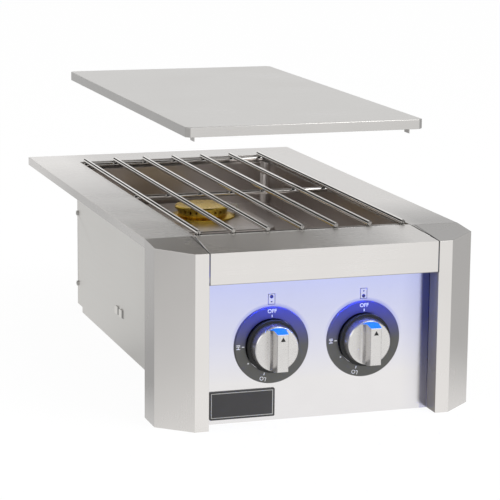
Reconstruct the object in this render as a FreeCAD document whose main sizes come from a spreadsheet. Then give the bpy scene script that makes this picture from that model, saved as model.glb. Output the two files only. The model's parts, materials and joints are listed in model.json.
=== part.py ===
import FreeCAD, Part
import Sketcher
import math
import os

# Built-in double side burner, in millimetres.
# X runs to the right, Y to the rear, Z up. The origin is the middle of the overall box, at its bottom.

doc = FreeCAD.newDocument("DoubleSideBurner")
table = doc.addObject("Spreadsheet::Sheet", "Sizes")

# Driving dimensions: alias, value, what it is
DRIVING = [
    ("sheet", 1.2, "thickness of the steel sheet"),
    ("frame_width", 381.0, "width of the top frame"),
    ("frame_depth", 612.0, "top frame, from its front fold to its rear edge"),
    ("top_height", 208.0, "top face of the frame above the bottom"),
    ("outer_lip", 11.0, "height of the frame's turned-down outer lips"),
    ("opening_width", 263.0, "width of the burner opening"),
    ("opening_front", 4.0, "front edge of the opening behind the fold"),
    ("opening_rear", 551.0, "rear edge of the opening behind the fold"),
    ("side_lip", 5.5, "height of the lips at the opening's sides"),
    ("rear_lip", 15.0, "height of the lip at the opening's rear and front"),
    ("edge_round", 1.0, "rounding of outer sheet edges"),
    ("post_side", 40.5, "depth of a corner post's side face"),
    ("chamfer_width", 37.5, "width that a corner post's chamfer takes"),
    ("chamfer_depth", 33.5, "depth that a corner post's chamfer takes"),
    ("post_face", 16.5, "width of a corner post's front face"),
    ("post_return", 25.0, "depth of a corner post's inner return"),
    ("front_drop", 5.5, "fall of the sloped front, from fold to fascia"),
    ("fascia_height", 36.0, "height of the header's vertical fascia"),
    ("fascia_return", 8.0, "depth of the lip under the fascia"),
    ("seam", 0.4, "gap between neighbouring cover sheets"),
    ("seat_gap", 0.02, "play between sheets that lie on each other"),
    ("bracket_depth", 18.0, "depth of the brackets behind the posts"),
    ("panel_setback", 48.0, "control panel's face in front of the fold"),
    ("panel_flange", 14.0, "depth of the control panel's top and bottom flanges"),
    ("panel_below", 6.0, "control panel's top edge below the header's slope"),
    ("panel_tuck", 2.0, "how far the control panel reaches behind a post's return"),
    ("flange_below", 2.0, "side panels' front flanges below the control panel's top edge"),
    ("box_rear", 560.0, "rear face of the box behind the fold"),
    ("front_flange", 16.0, "width of the side panels' front flanges"),
    ("notch_length", 27.0, "length of the notch in a side panel's lower rear corner"),
    ("notch_height", 7.5, "height of that notch"),
    ("slot_width", 5.0, "width of a vent slot in the back"),
    ("slot_height", 46.0, "height of a vent slot"),
    ("slot_pitch", 18.0, "distance between vent slots"),
    ("vent_radius", 8.0, "radius of a vent hole in the floor"),
    ("vent_pitch", 60.0, "distance between vent holes"),
    ("louvre_length", 16.0, "length of a side louvre"),
    ("louvre_height", 10.0, "height of a side louvre"),
    ("louvre_rise", 3.0, "how far a louvre stands out"),
    ("louvre_pitch", 21.0, "distance between the two louvres"),
    ("louvre_behind", 315.0, "front louvre's middle behind the fold"),
    ("louvre_below", 161.0, "louvres' middle below the top"),
    ("rod_radius", 3.0, "radius of the grate's rods"),
    ("rod_cut", 0.6, "cut of the rods' ends"),
    ("rod_above", 2.2, "axis of the long rods above the frame's top"),
    ("rod_pitch", 41.6, "distance between neighbouring long rods"),
    ("rod_front", 8.0, "front ends of the long rods behind the fold"),
    ("rod_rear", 547.0, "rear ends of the long rods behind the fold"),
    ("rod_weld", 0.15, "how deep the long rods are welded into the cross rods"),
    ("cross_inset", 6.0, "outer cross rods from the long rods' ends"),
    ("cross_length", 258.0, "length of the cross rods"),
    ("rest_gap", 0.3, "gap below a piece that is laid in place"),
    ("ledge_width", 22.0, "width of the liner's front and rear ledges"),
    ("liner_depth", 57.0, "depth of the liner below its ledges"),
    ("liner_round", 10.0, "corner radius of the liner"),
    ("liner_play", 1.2, "play of the liner's holes around what passes through"),
    ("plate_width", 144.0, "width of a burner plate"),
    ("plate_depth", 214.0, "depth of a burner plate"),
    ("plate_height", 8.0, "height of a burner plate above the liner's floor"),
    ("plate_round", 20.0, "corner radius of a burner plate"),
    ("hole_play", 0.3, "play of a hole around a fixed tube"),
    ("burner_spacing", 252.0, "distance between the two burners"),
    ("burner_middle", 280.0, "point halfway between the burners behind the fold"),
    ("burner_radius", 43.5, "radius of a burner's foot"),
    ("cap_radius", 36.5, "radius of a burner cap"),
    ("cap_height", 5.0, "height of a burner cap"),
    ("cap_rim", 2.75, "height of the cap's straight rim"),
    ("cap_round", 1.5, "cut of the cap's upper edge"),
    ("cap_crown", 0.3, "rise of the cap's middle over its shoulder"),
    ("ring_radius", 33.0, "radius of the burner's port ring"),
    ("ring_wall", 5.0, "wall of the port ring"),
    ("ring_height", 7.0, "height of the port ring above the foot"),
    ("foot_height", 4.5, "height of a burner's sloping foot"),
    ("foot_edge", 1.6, "height of the foot's outer edge"),
    ("foot_land", 2.0, "flat between the foot's slope and the port ring"),
    ("foot_floor", 2.7, "height of the floor inside the port ring"),
    ("throat_radius", 13.5, "radius of the neck below a burner"),
    ("throat_length", 24.0, "length of that neck below the plate"),
    ("port_width", 2.6, "width of a burner port"),
    ("port_depth", 4.0, "height of a burner port"),
    ("port_count", 24, "number of ports in a burner"),
    ("cap_spigot", 2.5, "height of the cap's locating spigot"),
    ("cap_hollow", 0.5, "depth of the hollow inside the spigot"),
    ("spigot_wall", 3.0, "wall of the cap's spigot"),
    ("cap_play", 0.4, "play of the spigot in the port ring"),
    ("tube_radius", 11.0, "outer radius of a mixer tube"),
    ("tube_wall", 1.2, "wall of a mixer tube"),
    ("tube_bend", 24.2, "bend radius of a mixer tube"),
    ("bell_radius", 16.0, "outer radius of a mixer tube's bell mouth"),
    ("bell_length", 14.0, "length of the bell mouth"),
    ("tube_turn", 75.0, "where a mixer tube turns to the middle, before its burner"),
    ("shutter_length", 22.0, "length of an air shutter"),
    ("shutter_behind", 2.0, "air shutter behind the bell mouth"),
    ("shutter_wall", 1.0, "wall of an air shutter"),
    ("slide_gap", 0.05, "radial clearance of a sliding or turning fit"),
    ("knob_spacing", 111.0, "distance between the two knob axes"),
    ("knob_below", 120.0, "knob axes below the frame's top"),
    ("bezel_radius", 44.3, "radius of a knob's dial plate"),
    ("bezel_hole", 31.0, "radius of the hole in the dial plate"),
    ("bezel_thick", 2.2, "thickness of the dial plate"),
    ("bezel_chamfer", 0.8, "chamfer of the dial plate's rim"),
    ("bezel_bevel", 0.4, "cut of the dial plate's inner edge"),
    ("hub_radius", 30.6, "radius of a knob's black hub"),
    ("hub_thick", 4.4, "thickness of that hub"),
    ("hub_cut", 0.8, "cut of the hub's edges"),
    ("hub_gap", 4.6, "gap between the hub and the panel, for the push"),
    ("knob_radius", 27.0, "radius of a knob's disc at its back"),
    ("knob_face", 25.6, "radius of a knob's disc at its face"),
    ("knob_disc", 13.0, "thickness of a knob's disc"),
    ("knob_straight", 2.5, "straight part of the disc's side"),
    ("knob_edge", 0.9, "cut of the disc's front edge"),
    ("grip_reach", 20.0, "how far the grip bar stands out of the disc"),
    ("grip_width", 13.0, "width of the grip bar's front face"),
    ("grip_height", 43.0, "height of the grip bar's front face"),
    ("grip_root", 24.0, "width of the grip bar where it leaves the disc"),
    ("grip_foot", 54.0, "height of the grip bar where it leaves the disc"),
    ("foot_out", 2.0, "where the bar's flare is steepest, out of the disc"),
    ("foot_width", 18.8, "width of the grip bar there"),
    ("foot_tall", 52.0, "height of the grip bar there"),
    ("grip_waist", 14.6, "width of the grip bar a third of the way out"),
    ("waist_out", 6.0, "where that is, out of the disc"),
    ("waist_height", 49.6, "height of the grip bar there"),
    ("grip_round", 1.2, "rounding of the grip bar's front edges"),
    ("push_travel", 4.0, "how far a knob is pushed in"),
    ("stem_radius", 4.0, "radius of a valve stem"),
    ("stem_shoulder", 6.0, "radius of the stem's shoulder"),
    ("shoulder_length", 4.0, "length of that shoulder"),
    ("shoulder_gap", 0.2, "gap between the shoulder and the collar"),
    ("stem_play", 2.0, "play of the control panel's hole around the shoulder"),
    ("stem_flat", 2.2, "stem's flat from its axis"),
    ("stem_reach", 8.4, "how far the stem reaches into the valve's block"),
    ("bore_depth", 16.8, "depth of the stem's bore in that block"),
    ("stem_grip", 9.0, "length of the stem inside the knob"),
    ("collar_radius", 9.5, "radius of the stem's collar"),
    ("collar_thick", 2.0, "thickness of that collar"),
    ("collar_behind", 6.0, "collar's front face behind the panel's face"),
    ("spring_radius", 7.0, "mean radius of the return spring"),
    ("spring_wire", 1.1, "wire of the return spring"),
    ("spring_length", 13.0, "length of the return spring"),
    ("spring_turns", 4, "turns of the return spring"),
    ("valve_width", 26.0, "width of a gas valve's body"),
    ("valve_height", 30.0, "height of a gas valve's body"),
    ("valve_depth", 28.0, "depth of a gas valve's body"),
    ("valve_nose", 10.5, "radius of the valve's round nose"),
    ("nose_length", 5.0, "length of the valve's nose"),
    ("ear_offset", 9.5, "valve's ear screws from the edge of its nose"),
    ("ear_thick", 3.0, "thickness of the valve's mounting ears"),
    ("ear_half", 5.0, "half the width of those ears"),
    ("spacer_wall", 1.6, "wall of the spacers"),
    ("jet_hex", 12.0, "width across the orifice jet's flats"),
    ("jet_length", 15.0, "length of the orifice jet"),
    ("hex_length", 9.0, "length of the jet's hexagon"),
    ("jet_root", 5.0, "radius of the jet's nose at the hexagon"),
    ("jet_tip", 3.0, "radius of the jet's nose at its end"),
    ("jet_entry", 3.0, "how far the jet reaches into the bell mouth"),
    ("tube_entry", 12.0, "how far a mixer tube reaches into its burner's neck"),
    ("jet_bore", 1.0, "diameter of the orifice"),
    ("manifold_radius", 9.5, "radius of the gas manifold"),
    ("manifold_wall", 1.8, "wall of the gas manifold"),
    ("manifold_length", 184.0, "length of the gas manifold"),
    ("manifold_drop", 27.0, "manifold's axis below the knob axes"),
    ("inlet_radius", 5.5, "radius of the valve's inlet stub"),
    ("stub_entry", 1.0, "how far that stub reaches into the manifold"),
    ("feed_radius", 6.35, "outer radius of the gas feed pipe"),
    ("feed_wall", 1.0, "wall of the gas feed pipe"),
    ("feed_run", 4.0, "straight run between the manifold's end and the feed pipe's bend"),
    ("feed_bend", 16.0, "bend radius of the feed pipe"),
    ("nipple_radius", 10.65, "radius of the gas inlet nipple"),
    ("nipple_length", 24.0, "length of the nipple outside the box"),
    ("nipple_hex", 30.0, "width across the nipple's nut"),
    ("nut_thick", 8.0, "thickness of the nipple's nut inside the box"),
    ("outer_nut", 5.6, "thickness of the nut outside the box"),
    ("electrode_offset", 48.5, "electrode's distance from its burner's axis"),
    ("ceramic_radius", 3.4, "radius of the electrode's ceramic"),
    ("ceramic_below", 14.0, "length of the ceramic below the plate"),
    ("ceramic_above", 9.0, "length of the ceramic above the plate"),
    ("ceramic_collar", 5.0, "radius of the ceramic's collar"),
    ("collar_height", 2.0, "height of that collar"),
    ("tip_radius", 1.1, "radius of the electrode's wire"),
    ("tip_reach", 8.0, "how far the electrode's tip reaches to the burner"),
    ("tip_rise", 5.0, "rise of the wire above the ceramic"),
    ("tip_bend", 2.2, "bend radius of the electrode's wire"),
    ("wire_radius", 1.6, "radius of an igniter wire"),
    ("wire_bend", 5.0, "bend radius of an igniter wire"),
    ("wire_start", 60.0, "where an igniter wire reaches its lane, behind its valve"),
    ("wire_turn", 40.0, "where an igniter wire leaves its lane, before its burner"),
    ("rear_lane", 84.0, "rear igniter wire's lane from the middle"),
    ("front_lane", 70.0, "front igniter wire's lane from the middle"),
    ("rear_dip", 20.0, "rear igniter wire's lane below its electrode"),
    ("front_dip", 12.0, "front igniter wire's lane below its electrode"),
    ("shield_behind", 62.0, "heat shield behind the fold"),
    ("shield_above", 25.3, "heat shield's upper edge above the knobs' middle"),
    ("shield_flange", 12.0, "depth of the heat shield's side flanges"),
    ("badge_width", 77.5, "width of the bare plate"),
    ("badge_below", 50.0, "bare plate's upper edge below the knobs' middle"),
    ("badge_thick", 1.6, "thickness of the bare plate"),
    ("badge_inset", 8.0, "bare plate's left edge from the left post"),
    ("badge_up", 5.0, "bare plate's lower edge above the bottom"),
    ("badge_round", 1.5, "corner radius of the bare plate"),
    ("badge_border", 1.6, "width of the plate's raised border"),
    ("badge_sunk", 0.4, "depth of the field inside that border"),
    ("lens_width", 16.0, "depth of the lamp's lens, front to rear"),
    ("lens_height", 6.0, "height of the lamp's lens"),
    ("lens_length", 250.0, "length of the lamp's lens"),
    ("lens_end", 2.0, "wall at the lens's ends"),
    ("lens_wall", 3.0, "wall in front of and behind the lamp strip"),
    ("strip_width", 10.0, "width of the lamp strip"),
    ("strip_thick", 2.0, "thickness of the lamp strip"),
    ("lid_width", 286.0, "width of the lid"),
    ("lid_length", 560.0, "length of the lid"),
    ("lid_rim", 11.5, "height of the lid's turned-down rim"),
    ("lid_sheet", 1.0, "thickness of the lid's sheet"),
    ("lid_front", 3.0, "lid's front edge in front of the fold"),
    ("lid_corner", 5.0, "cut of the lid's corners"),
    ("lid_hover", 113.0, "lid's rim above the frame, as it is shown"),
    ("tab_drop", 6.5, "how far the lid's tabs hang below its rim"),
    ("tab_length", 14.0, "length of a lid tab"),
    ("tab_gap", 0.6, "gap between a lid tab and the opening's edge"),
    ("tab_inset", 12.0, "lid tabs from the lid's ends"),
    ("screw_radius", 2.0, "radius of the small screws"),
    ("screw_upper", 72.0, "upper side screws below the frame's top"),
    ("screw_lower", 171.0, "lower side screws below the frame's top"),
    ("screw_inset", 3.7, "side screws from the box's rear face"),
    ("tray_gap", 0.1, "gap between the box's sides and what is fitted between them"),
    ("tray_lip", 12.0, "height of the bottom tray's side lips"),
    ("tray_lip_wall", 1.8, "width of those lips, with their hem"),
    ("rear_flange", 7.4, "depth of the rear panel's side flanges"),
    ("screw_head", 3.4, "radius of the small screws' heads"),
    ("head_thick", 2.0, "height of the small screws' heads"),
    ("screw_length", 6.0, "length of the small screws"),
]


class Size:
    """A number together with the text of the expression that gives it."""

    def __init__(self, value, text):
        self.value = float(value)
        self.text = text

    def _with(self, other, sign, result, swapped=False):
        text = other.text if isinstance(other, Size) else repr(float(other))
        first, second = (text, self.text) if swapped else (self.text, text)
        return Size(result, "(%s %s %s)" % (first, sign, second))

    def __add__(self, other):
        return self._with(other, "+", self.value + number(other))

    def __radd__(self, other):
        return self._with(other, "+", number(other) + self.value, True)

    def __sub__(self, other):
        return self._with(other, "-", self.value - number(other))

    def __rsub__(self, other):
        return self._with(other, "-", number(other) - self.value, True)

    def __mul__(self, other):
        return self._with(other, "*", self.value * number(other))

    def __rmul__(self, other):
        return self._with(other, "*", number(other) * self.value, True)

    def __truediv__(self, other):
        return self._with(other, "/", self.value / number(other))

    def __neg__(self):
        return Size(-self.value, "(0 - %s)" % self.text)


def number(size):
    """The plain number of a size or of a number."""
    return size.value if isinstance(size, Size) else float(size)


class Sizes:
    """The driving dimensions by name."""


def fill_table():
    """Writes the driving dimensions into the sheet and returns them as sizes."""
    sizes = Sizes()
    for row, (alias, value, note) in enumerate(DRIVING, start=1):
        table.set("A%d" % row, note)
        table.set("B%d" % row, str(value))
        table.setAlias("B%d" % row, alias)
        setattr(sizes, alias, Size(value, "Sizes." + alias))
    doc.recompute()
    return sizes


S = fill_table()

# Places worked out from the driving dimensions
FRONT_REACH = S.panel_setback + S.hub_gap + S.hub_thick + S.knob_disc + S.grip_reach
FOLD = (FRONT_REACH - S.frame_depth) / 2
REAR = FOLD + S.frame_depth
TOP = S.top_height
HALF = S.frame_width / 2
OPEN_HALF = S.opening_width / 2
FASCIA = FOLD - S.post_side - S.chamfer_depth
POST_INNER = HALF - S.chamfer_width - S.post_face
PANEL = FOLD - S.panel_setback
WALL_IN = OPEN_HALF + S.sheet
WALL_OUT = WALL_IN + S.sheet
TRAY_HALF = WALL_IN - S.tray_gap
BOX_REAR = FOLD + S.box_rear
ROD_Z = TOP + S.rod_above
CROSS_Z = ROD_Z - S.rod_radius * 2 + S.rod_weld
LEDGE_Z = CROSS_Z - S.rod_radius - S.rest_gap
FLOOR_Z = LEDGE_Z - S.liner_depth
PLATE_Z = FLOOR_Z + S.plate_height
REAR_BURNER = FOLD + S.burner_middle + S.burner_spacing / 2
FRONT_BURNER = FOLD + S.burner_middle - S.burner_spacing / 2
RING_TOP = PLATE_Z + S.foot_height + S.ring_height
KNOB_Z = TOP - S.knob_below
KNOB_X = S.knob_spacing / 2
HUB_BACK = PANEL - S.hub_gap
KNOB_BACK = HUB_BACK - S.hub_thick
COLLAR_Y = PANEL + S.collar_behind
SPRING_Y = COLLAR_Y + S.collar_thick + S.rest_gap
VALVE_Y = SPRING_Y + S.spring_length + S.rest_gap
VALVE_REAR = VALVE_Y + S.nose_length + S.valve_depth
JET_END = VALVE_REAR + S.jet_length
TUBE_Y = JET_END - S.jet_entry
TUBE_TOP = PLATE_Z - S.throat_length + S.tube_entry
MANIFOLD_Z = KNOB_Z - S.manifold_drop
FEED_X = -(S.manifold_length / 2 + S.feed_run + S.feed_bend)
EAR_SCREW = S.valve_nose + S.ear_offset
EAR_REAR = VALVE_Y + S.nose_length + S.ear_thick
MANIFOLD_Y = VALVE_REAR - S.valve_depth / 2

# How far a cutting shape runs past what it cuts
CLEAR = 1.0
# How far shapes that are joined reach into each other
BITE = 0.1
# How many flat sides a thin wire is given
WIRE_SIDES = 6

nodes = []


def keep(item, label):
    """Gives a finished sub-part the label that names its file."""
    item.Label = label
    nodes.append(item)
    return item


def bind(item, prop, size):
    """Sets a property to a size, as an expression on the sheet where it is one."""
    if isinstance(size, Size):
        item.setExpression(prop, size.text)
    else:
        setattr(item, prop, size)


def place(item, x=0, y=0, z=0, axis=None, angle=0):
    """Puts an object at a point, turned about an axis through that point."""
    rotation = FreeCAD.Rotation(FreeCAD.Vector(*axis), angle) if axis else FreeCAD.Rotation()
    item.Placement = FreeCAD.Placement(FreeCAD.Vector(number(x), number(y), number(z)), rotation)
    for letter, size in (("x", x), ("y", y), ("z", z)):
        if isinstance(size, Size):
            item.setExpression("Placement.Base." + letter, size.text)


def new_body(name):
    """An empty body with a name of its own."""
    return doc.addObject("PartDesign::Body", name + "_body")


def origin_plane(body, role):
    """One of the body's own origin planes."""
    for feature in body.Origin.OriginFeatures:
        if feature.Role == role:
            return feature
    raise ValueError(role)


def add_sketch(body, role, offset=0):
    """A sketch on one of the body's origin planes, moved along that plane's normal."""
    sketch = body.newObject("Sketcher::SketchObject", body.Name + "_sketch")
    sketch.AttachmentSupport = [(origin_plane(body, role), "")]
    sketch.MapMode = "FlatFace"
    sketch.AttachmentOffset = FreeCAD.Placement(FreeCAD.Vector(0, 0, number(offset)), FreeCAD.Rotation())
    if isinstance(offset, Size):
        sketch.setExpression("AttachmentOffset.Base.z", offset.text)
    return sketch


def pin_point(sketch, line, end, x, y):
    """Holds one end of a line at a point, in sizes from the sketch's origin."""
    for kind, size in (("DistanceX", x), ("DistanceY", y)):
        index = sketch.addConstraint(Sketcher.Constraint(kind, -1, 1, line, end, number(size)))
        if isinstance(size, Size):
            sketch.setExpression("Constraints[%d]" % index, size.text)


def draw_outline(sketch, points):
    """A closed outline of straight lines through the given points."""
    first = sketch.GeometryCount
    count = len(points)
    vectors = [FreeCAD.Vector(number(x), number(y), 0) for x, y in points]
    for i in range(count):
        sketch.addGeometry(Part.LineSegment(vectors[i], vectors[(i + 1) % count]), False)
    for i in range(count):
        sketch.addConstraint(Sketcher.Constraint("Coincident", first + i, 2, first + (i + 1) % count, 1))
    for i, (x, y) in enumerate(points):
        pin_point(sketch, first + i, 1, x, y)


def draw_rectangle(sketch, x0, y0, x1, y1):
    """A rectangle between two corners."""
    draw_outline(sketch, [(x0, y0), (x1, y0), (x1, y1), (x0, y1)])


def draw_circle(sketch, x, y, radius):
    """A circle about a point."""
    middle = FreeCAD.Vector(number(x), number(y), 0)
    line = sketch.addGeometry(Part.Circle(middle, FreeCAD.Vector(0, 0, 1), number(radius)), False)
    pin_point(sketch, line, 3, x, y)
    index = sketch.addConstraint(Sketcher.Constraint("Radius", line, number(radius)))
    if isinstance(radius, Size):
        sketch.setExpression("Constraints[%d]" % index, radius.text)


def pad(body, sketch, length, reversed_way=False, both_ways=False):
    """Pads a sketch by a length."""
    feature = body.newObject("PartDesign::Pad", body.Name + "_pad")
    feature.Profile = sketch
    feature.Reversed = reversed_way
    feature.Midplane = both_ways
    bind(feature, "Length", length)
    return feature


def pocket(body, sketch, length=None, reversed_way=False, both_ways=False):
    """Cuts a sketch into the body by a length, or all the way through."""
    feature = body.newObject("PartDesign::Pocket", body.Name + "_pocket")
    feature.Profile = sketch
    feature.Reversed = reversed_way
    feature.Midplane = both_ways
    if length is None:
        feature.Type = "ThroughAll"
    else:
        bind(feature, "Length", length)
    return feature


def revolve(body, sketch, groove=False):
    """Turns a sketch once about its own vertical axis."""
    kind = "PartDesign::Groove" if groove else "PartDesign::Revolution"
    feature = body.newObject(kind, body.Name + "_turned")
    feature.Profile = sketch
    feature.ReferenceAxis = (sketch, ["V_Axis"])
    feature.Angle = 360.0
    return feature


def edges_where(feature, test):
    """The names of a feature's edges that pass a test."""
    shape = feature.Shape
    return ["Edge%d" % (i + 1) for i, edge in enumerate(shape.Edges) if test(edge)]


def faces_where(feature, test):
    """The names of a feature's faces that pass a test."""
    shape = feature.Shape
    return ["Face%d" % (i + 1) for i, face in enumerate(shape.Faces) if test(face)]


def is_along(edge, letter):
    """Whether a straight edge runs along one axis."""
    if not isinstance(edge.Curve, (Part.Line, Part.LineSegment)):
        return False
    run = edge.Vertexes[-1].Point - edge.Vertexes[0].Point
    return abs(getattr(run, letter)) > 0.999 * run.Length


def fillet(body, base, names, radius):
    """Rounds the named edges of the body's last feature."""
    feature = body.newObject("PartDesign::Fillet", body.Name + "_fillet")
    feature.Base = (base, names)
    bind(feature, "Radius", radius)
    return feature


def shell(body, base, names, wall):
    """Hollows the body to a wall, open at the named faces."""
    feature = body.newObject("PartDesign::Thickness", body.Name + "_shell")
    feature.Base = (base, names)
    bind(feature, "Value", wall)
    feature.Reversed = True
    feature.Join = 1
    return feature


def near(a, b, slack=0.01):
    """Whether two lengths agree."""
    return abs(number(a) - number(b)) < slack


def cylinder(name, radius, height, x=0, y=0, z=0, axis=None, angle=0):
    """A solid cylinder that starts at a point."""
    item = doc.addObject("Part::Cylinder", name)
    bind(item, "Radius", radius)
    bind(item, "Height", height)
    place(item, x, y, z, axis, angle)
    return item


def box(name, x0, y0, z0, length, width, height):
    """A solid box from its low corner."""
    item = doc.addObject("Part::Box", name)
    bind(item, "Length", length)
    bind(item, "Width", width)
    bind(item, "Height", height)
    place(item, x0, y0, z0)
    return item


def cut(name, base, tool):
    """One object with another cut out of it."""
    item = doc.addObject("Part::Cut", name)
    item.Base = base
    item.Tool = tool
    return item


def fuse(name, items):
    """Several objects joined into one solid."""
    item = doc.addObject("Part::MultiFuse", name)
    item.Shapes = items
    return item


def group(name, items):
    """Several separate solids kept together."""
    item = doc.addObject("Part::Compound", name)
    item.Links = items
    return item


TOWARDS_REAR = dict(axis=(1, 0, 0), angle=-90)


def top_frame():
    """The flat flange with outer lips on three sides and lips round the opening."""
    body = new_body("top_frame")
    plan = add_sketch(body, "XY_Plane", TOP)
    draw_rectangle(plan, -HALF, FOLD, HALF, REAR)
    block = pad(body, plan, S.outer_lip, reversed_way=True)
    doc.recompute()
    tops = edges_where(block, lambda e: near(e.BoundBox.ZMin, TOP) and near(e.BoundBox.ZMax, TOP)
                       and not near(e.CenterOfMass.y, FOLD))
    rounded = fillet(body, block, tops, S.edge_round)
    doc.recompute()
    under = add_sketch(body, "XY_Plane", TOP - S.outer_lip)
    draw_rectangle(under, -HALF + S.sheet, FOLD - CLEAR, HALF - S.sheet, REAR - S.sheet)
    pocket(body, under, S.outer_lip - S.sheet, reversed_way=True)
    lips = add_sketch(body, "XY_Plane", TOP - S.sheet / 2)
    draw_rectangle(lips, -WALL_IN, FOLD + S.sheet, WALL_IN, FOLD + S.opening_rear + S.sheet)
    pad(body, lips, S.side_lip - S.sheet / 2, reversed_way=True)
    rear = add_sketch(body, "XY_Plane", TOP - S.sheet / 2)
    draw_rectangle(rear, -WALL_IN, FOLD + S.opening_rear, WALL_IN, FOLD + S.opening_rear + S.sheet)
    pad(body, rear, S.rear_lip - S.sheet / 2, reversed_way=True)
    hole = add_sketch(body, "XY_Plane", TOP + CLEAR)
    draw_rectangle(hole, -OPEN_HALF, FOLD - CLEAR, OPEN_HALF, FOLD + S.opening_rear)
    pocket(body, hole, S.rear_lip + CLEAR * 2)
    return keep(body, "top_frame")


def corner_post(side, name):
    """A folded post: side face, wide chamfer, front face and inner return, under a sloped top."""
    body = new_body(name)
    t = S.sheet
    fold_in = t * math.tan(math.pi / 8)
    inner_rear = OPEN_HALF + S.seam
    return_rear = FASCIA + S.post_return
    outside = [
        (HALF, FOLD),
        (HALF, FOLD - S.post_side),
        (HALF - S.chamfer_width, FASCIA),
        (POST_INNER, FASCIA),
        (POST_INNER, return_rear),
    ]
    inside = [
        (POST_INNER + t, return_rear),
        (POST_INNER + t, FASCIA + t),
        (HALF - S.chamfer_width - fold_in, FASCIA + t),
        (HALF - t, FOLD - S.post_side + fold_in),
        (HALF - t, FOLD),
    ]
    slope = add_sketch(body, "YZ_Plane")
    front_top = TOP - S.front_drop
    draw_outline(slope, [(FOLD, TOP - t), (FOLD, TOP), (FASCIA, front_top), (FASCIA, front_top - t)])
    pad(body, slope, HALF * 2, both_ways=True)
    walls = add_sketch(body, "XY_Plane")
    draw_outline(walls, [(side * x, y) for x, y in outside + inside])
    pad(body, walls, TOP)
    above = add_sketch(body, "YZ_Plane")
    past = CLEAR * 5
    fall = S.front_drop / (S.post_side + S.chamfer_depth) * past
    draw_outline(above, [
        (FOLD + past, TOP + past), (FOLD + past, TOP + fall),
        (FASCIA - past, front_top - fall), (FASCIA - past, TOP + past),
    ])
    pocket(body, above, HALF * 3, both_ways=True)
    around = add_sketch(body, "XY_Plane", TOP + past)
    draw_rectangle(around, -HALF * 2, FASCIA - past, HALF * 2, FOLD + past)
    draw_outline(around, [(side * x, y) for x, y in outside + [(inner_rear, FOLD)]])
    pocket(body, around)
    return keep(body, name)


def front_header():
    """The sloped strip and fascia between the posts, folded from one sheet."""
    body = new_body("front_header")
    side = add_sketch(body, "YZ_Plane")
    back = FOLD + S.opening_front
    low = TOP - S.front_drop - S.fascia_height
    draw_outline(side, [
        (back, TOP - S.rear_lip),
        (back, TOP),
        (FOLD, TOP),
        (FASCIA, TOP - S.front_drop),
        (FASCIA, low),
        (FASCIA + S.fascia_return, low),
        (FASCIA + S.fascia_return, low + S.sheet),
        (FASCIA + S.sheet, low + S.sheet),
        (FASCIA + S.sheet, TOP - S.front_drop - S.sheet),
        (FOLD, TOP - S.sheet),
        (back - S.sheet, TOP - S.sheet),
        (back - S.sheet, TOP - S.rear_lip),
    ])
    front_half = POST_INNER - S.seam
    pad(body, side, front_half * 2, both_ways=True)
    plan = add_sketch(body, "XY_Plane", TOP + CLEAR)
    past = CLEAR * 10
    for way in (-1, 1):
        draw_outline(plan, [
            (way * (front_half + past), FASCIA),
            (way * front_half, FASCIA),
            (way * OPEN_HALF - way * S.seam, FOLD),
            (way * OPEN_HALF - way * S.seam, FOLD + past),
            (way * (front_half + past), FOLD + past),
        ])
    pocket(body, plan)
    return keep(body, "front_header")


def control_panel():
    """The flat face behind the knobs, with flanges at its top and bottom and two stem holes."""
    body = new_body("control_panel")
    side = add_sketch(body, "YZ_Plane")
    high = TOP - S.front_drop - S.sheet - S.panel_below
    rear = PANEL + S.panel_flange
    draw_outline(side, [
        (PANEL, 0), (rear, 0), (rear, S.sheet), (PANEL + S.sheet, S.sheet),
        (PANEL + S.sheet, high - S.sheet), (rear, high - S.sheet), (rear, high), (PANEL, high),
    ])
    pad(body, side, (POST_INNER + S.panel_tuck) * 2, both_ways=True)
    holes = add_sketch(body, "XZ_Plane", CLEAR - PANEL)
    for way in (-1, 1):
        draw_circle(holes, way * KNOB_X, KNOB_Z, S.stem_shoulder + S.stem_play)
        for up in (-1, 1):
            draw_circle(holes, way * KNOB_X, KNOB_Z + up * EAR_SCREW, S.screw_radius + S.slide_gap)
    pocket(body, holes, S.sheet + CLEAR * 2)
    ends = add_sketch(body, "XY_Plane", TOP)
    for way in (-1, 1):
        draw_rectangle(ends, way * (WALL_IN - S.seam), PANEL + S.sheet, way * HALF, rear + CLEAR)
    pocket(body, ends)
    return keep(body, "control_panel")


def side_panel(side, name):
    """A box side with a front flange, a rear notch and two lanced louvres."""
    body = new_body(name)
    plan = add_sketch(body, "XY_Plane")
    front = PANEL + S.sheet + S.seat_gap
    outline = [
        (WALL_IN, front), (WALL_OUT + S.front_flange, front), (WALL_OUT + S.front_flange, front + S.sheet),
        (WALL_OUT, front + S.sheet), (WALL_OUT, BOX_REAR), (WALL_IN, BOX_REAR),
    ]
    draw_outline(plan, [(side * x, y) for x, y in outline])
    high = TOP - S.front_drop - S.sheet - S.panel_below - S.flange_below
    pad(body, plan, high)
    upper = add_sketch(body, "XY_Plane", high - BITE)
    draw_rectangle(upper, side * WALL_IN, FOLD + S.sheet, side * WALL_OUT, BOX_REAR)
    pad(body, upper, TOP - S.sheet - high + BITE)
    notch = add_sketch(body, "YZ_Plane")
    draw_rectangle(notch, BOX_REAR - S.notch_length, -CLEAR, BOX_REAR + CLEAR, S.notch_height)
    pocket(body, notch, S.frame_width * 2, both_ways=True)
    cut_side_screw_holes(body)
    add_louvres(body, side)
    return keep(body, name)


def cut_side_screw_holes(body):
    """The holes for the side screws, near the box's rear edge."""
    holes = add_sketch(body, "YZ_Plane")
    for below in (S.screw_upper, S.screw_lower):
        draw_circle(holes, BOX_REAR - S.screw_inset, TOP - below, S.screw_radius + S.slide_gap)
    pocket(body, holes, S.frame_width * 2, both_ways=True)


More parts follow.
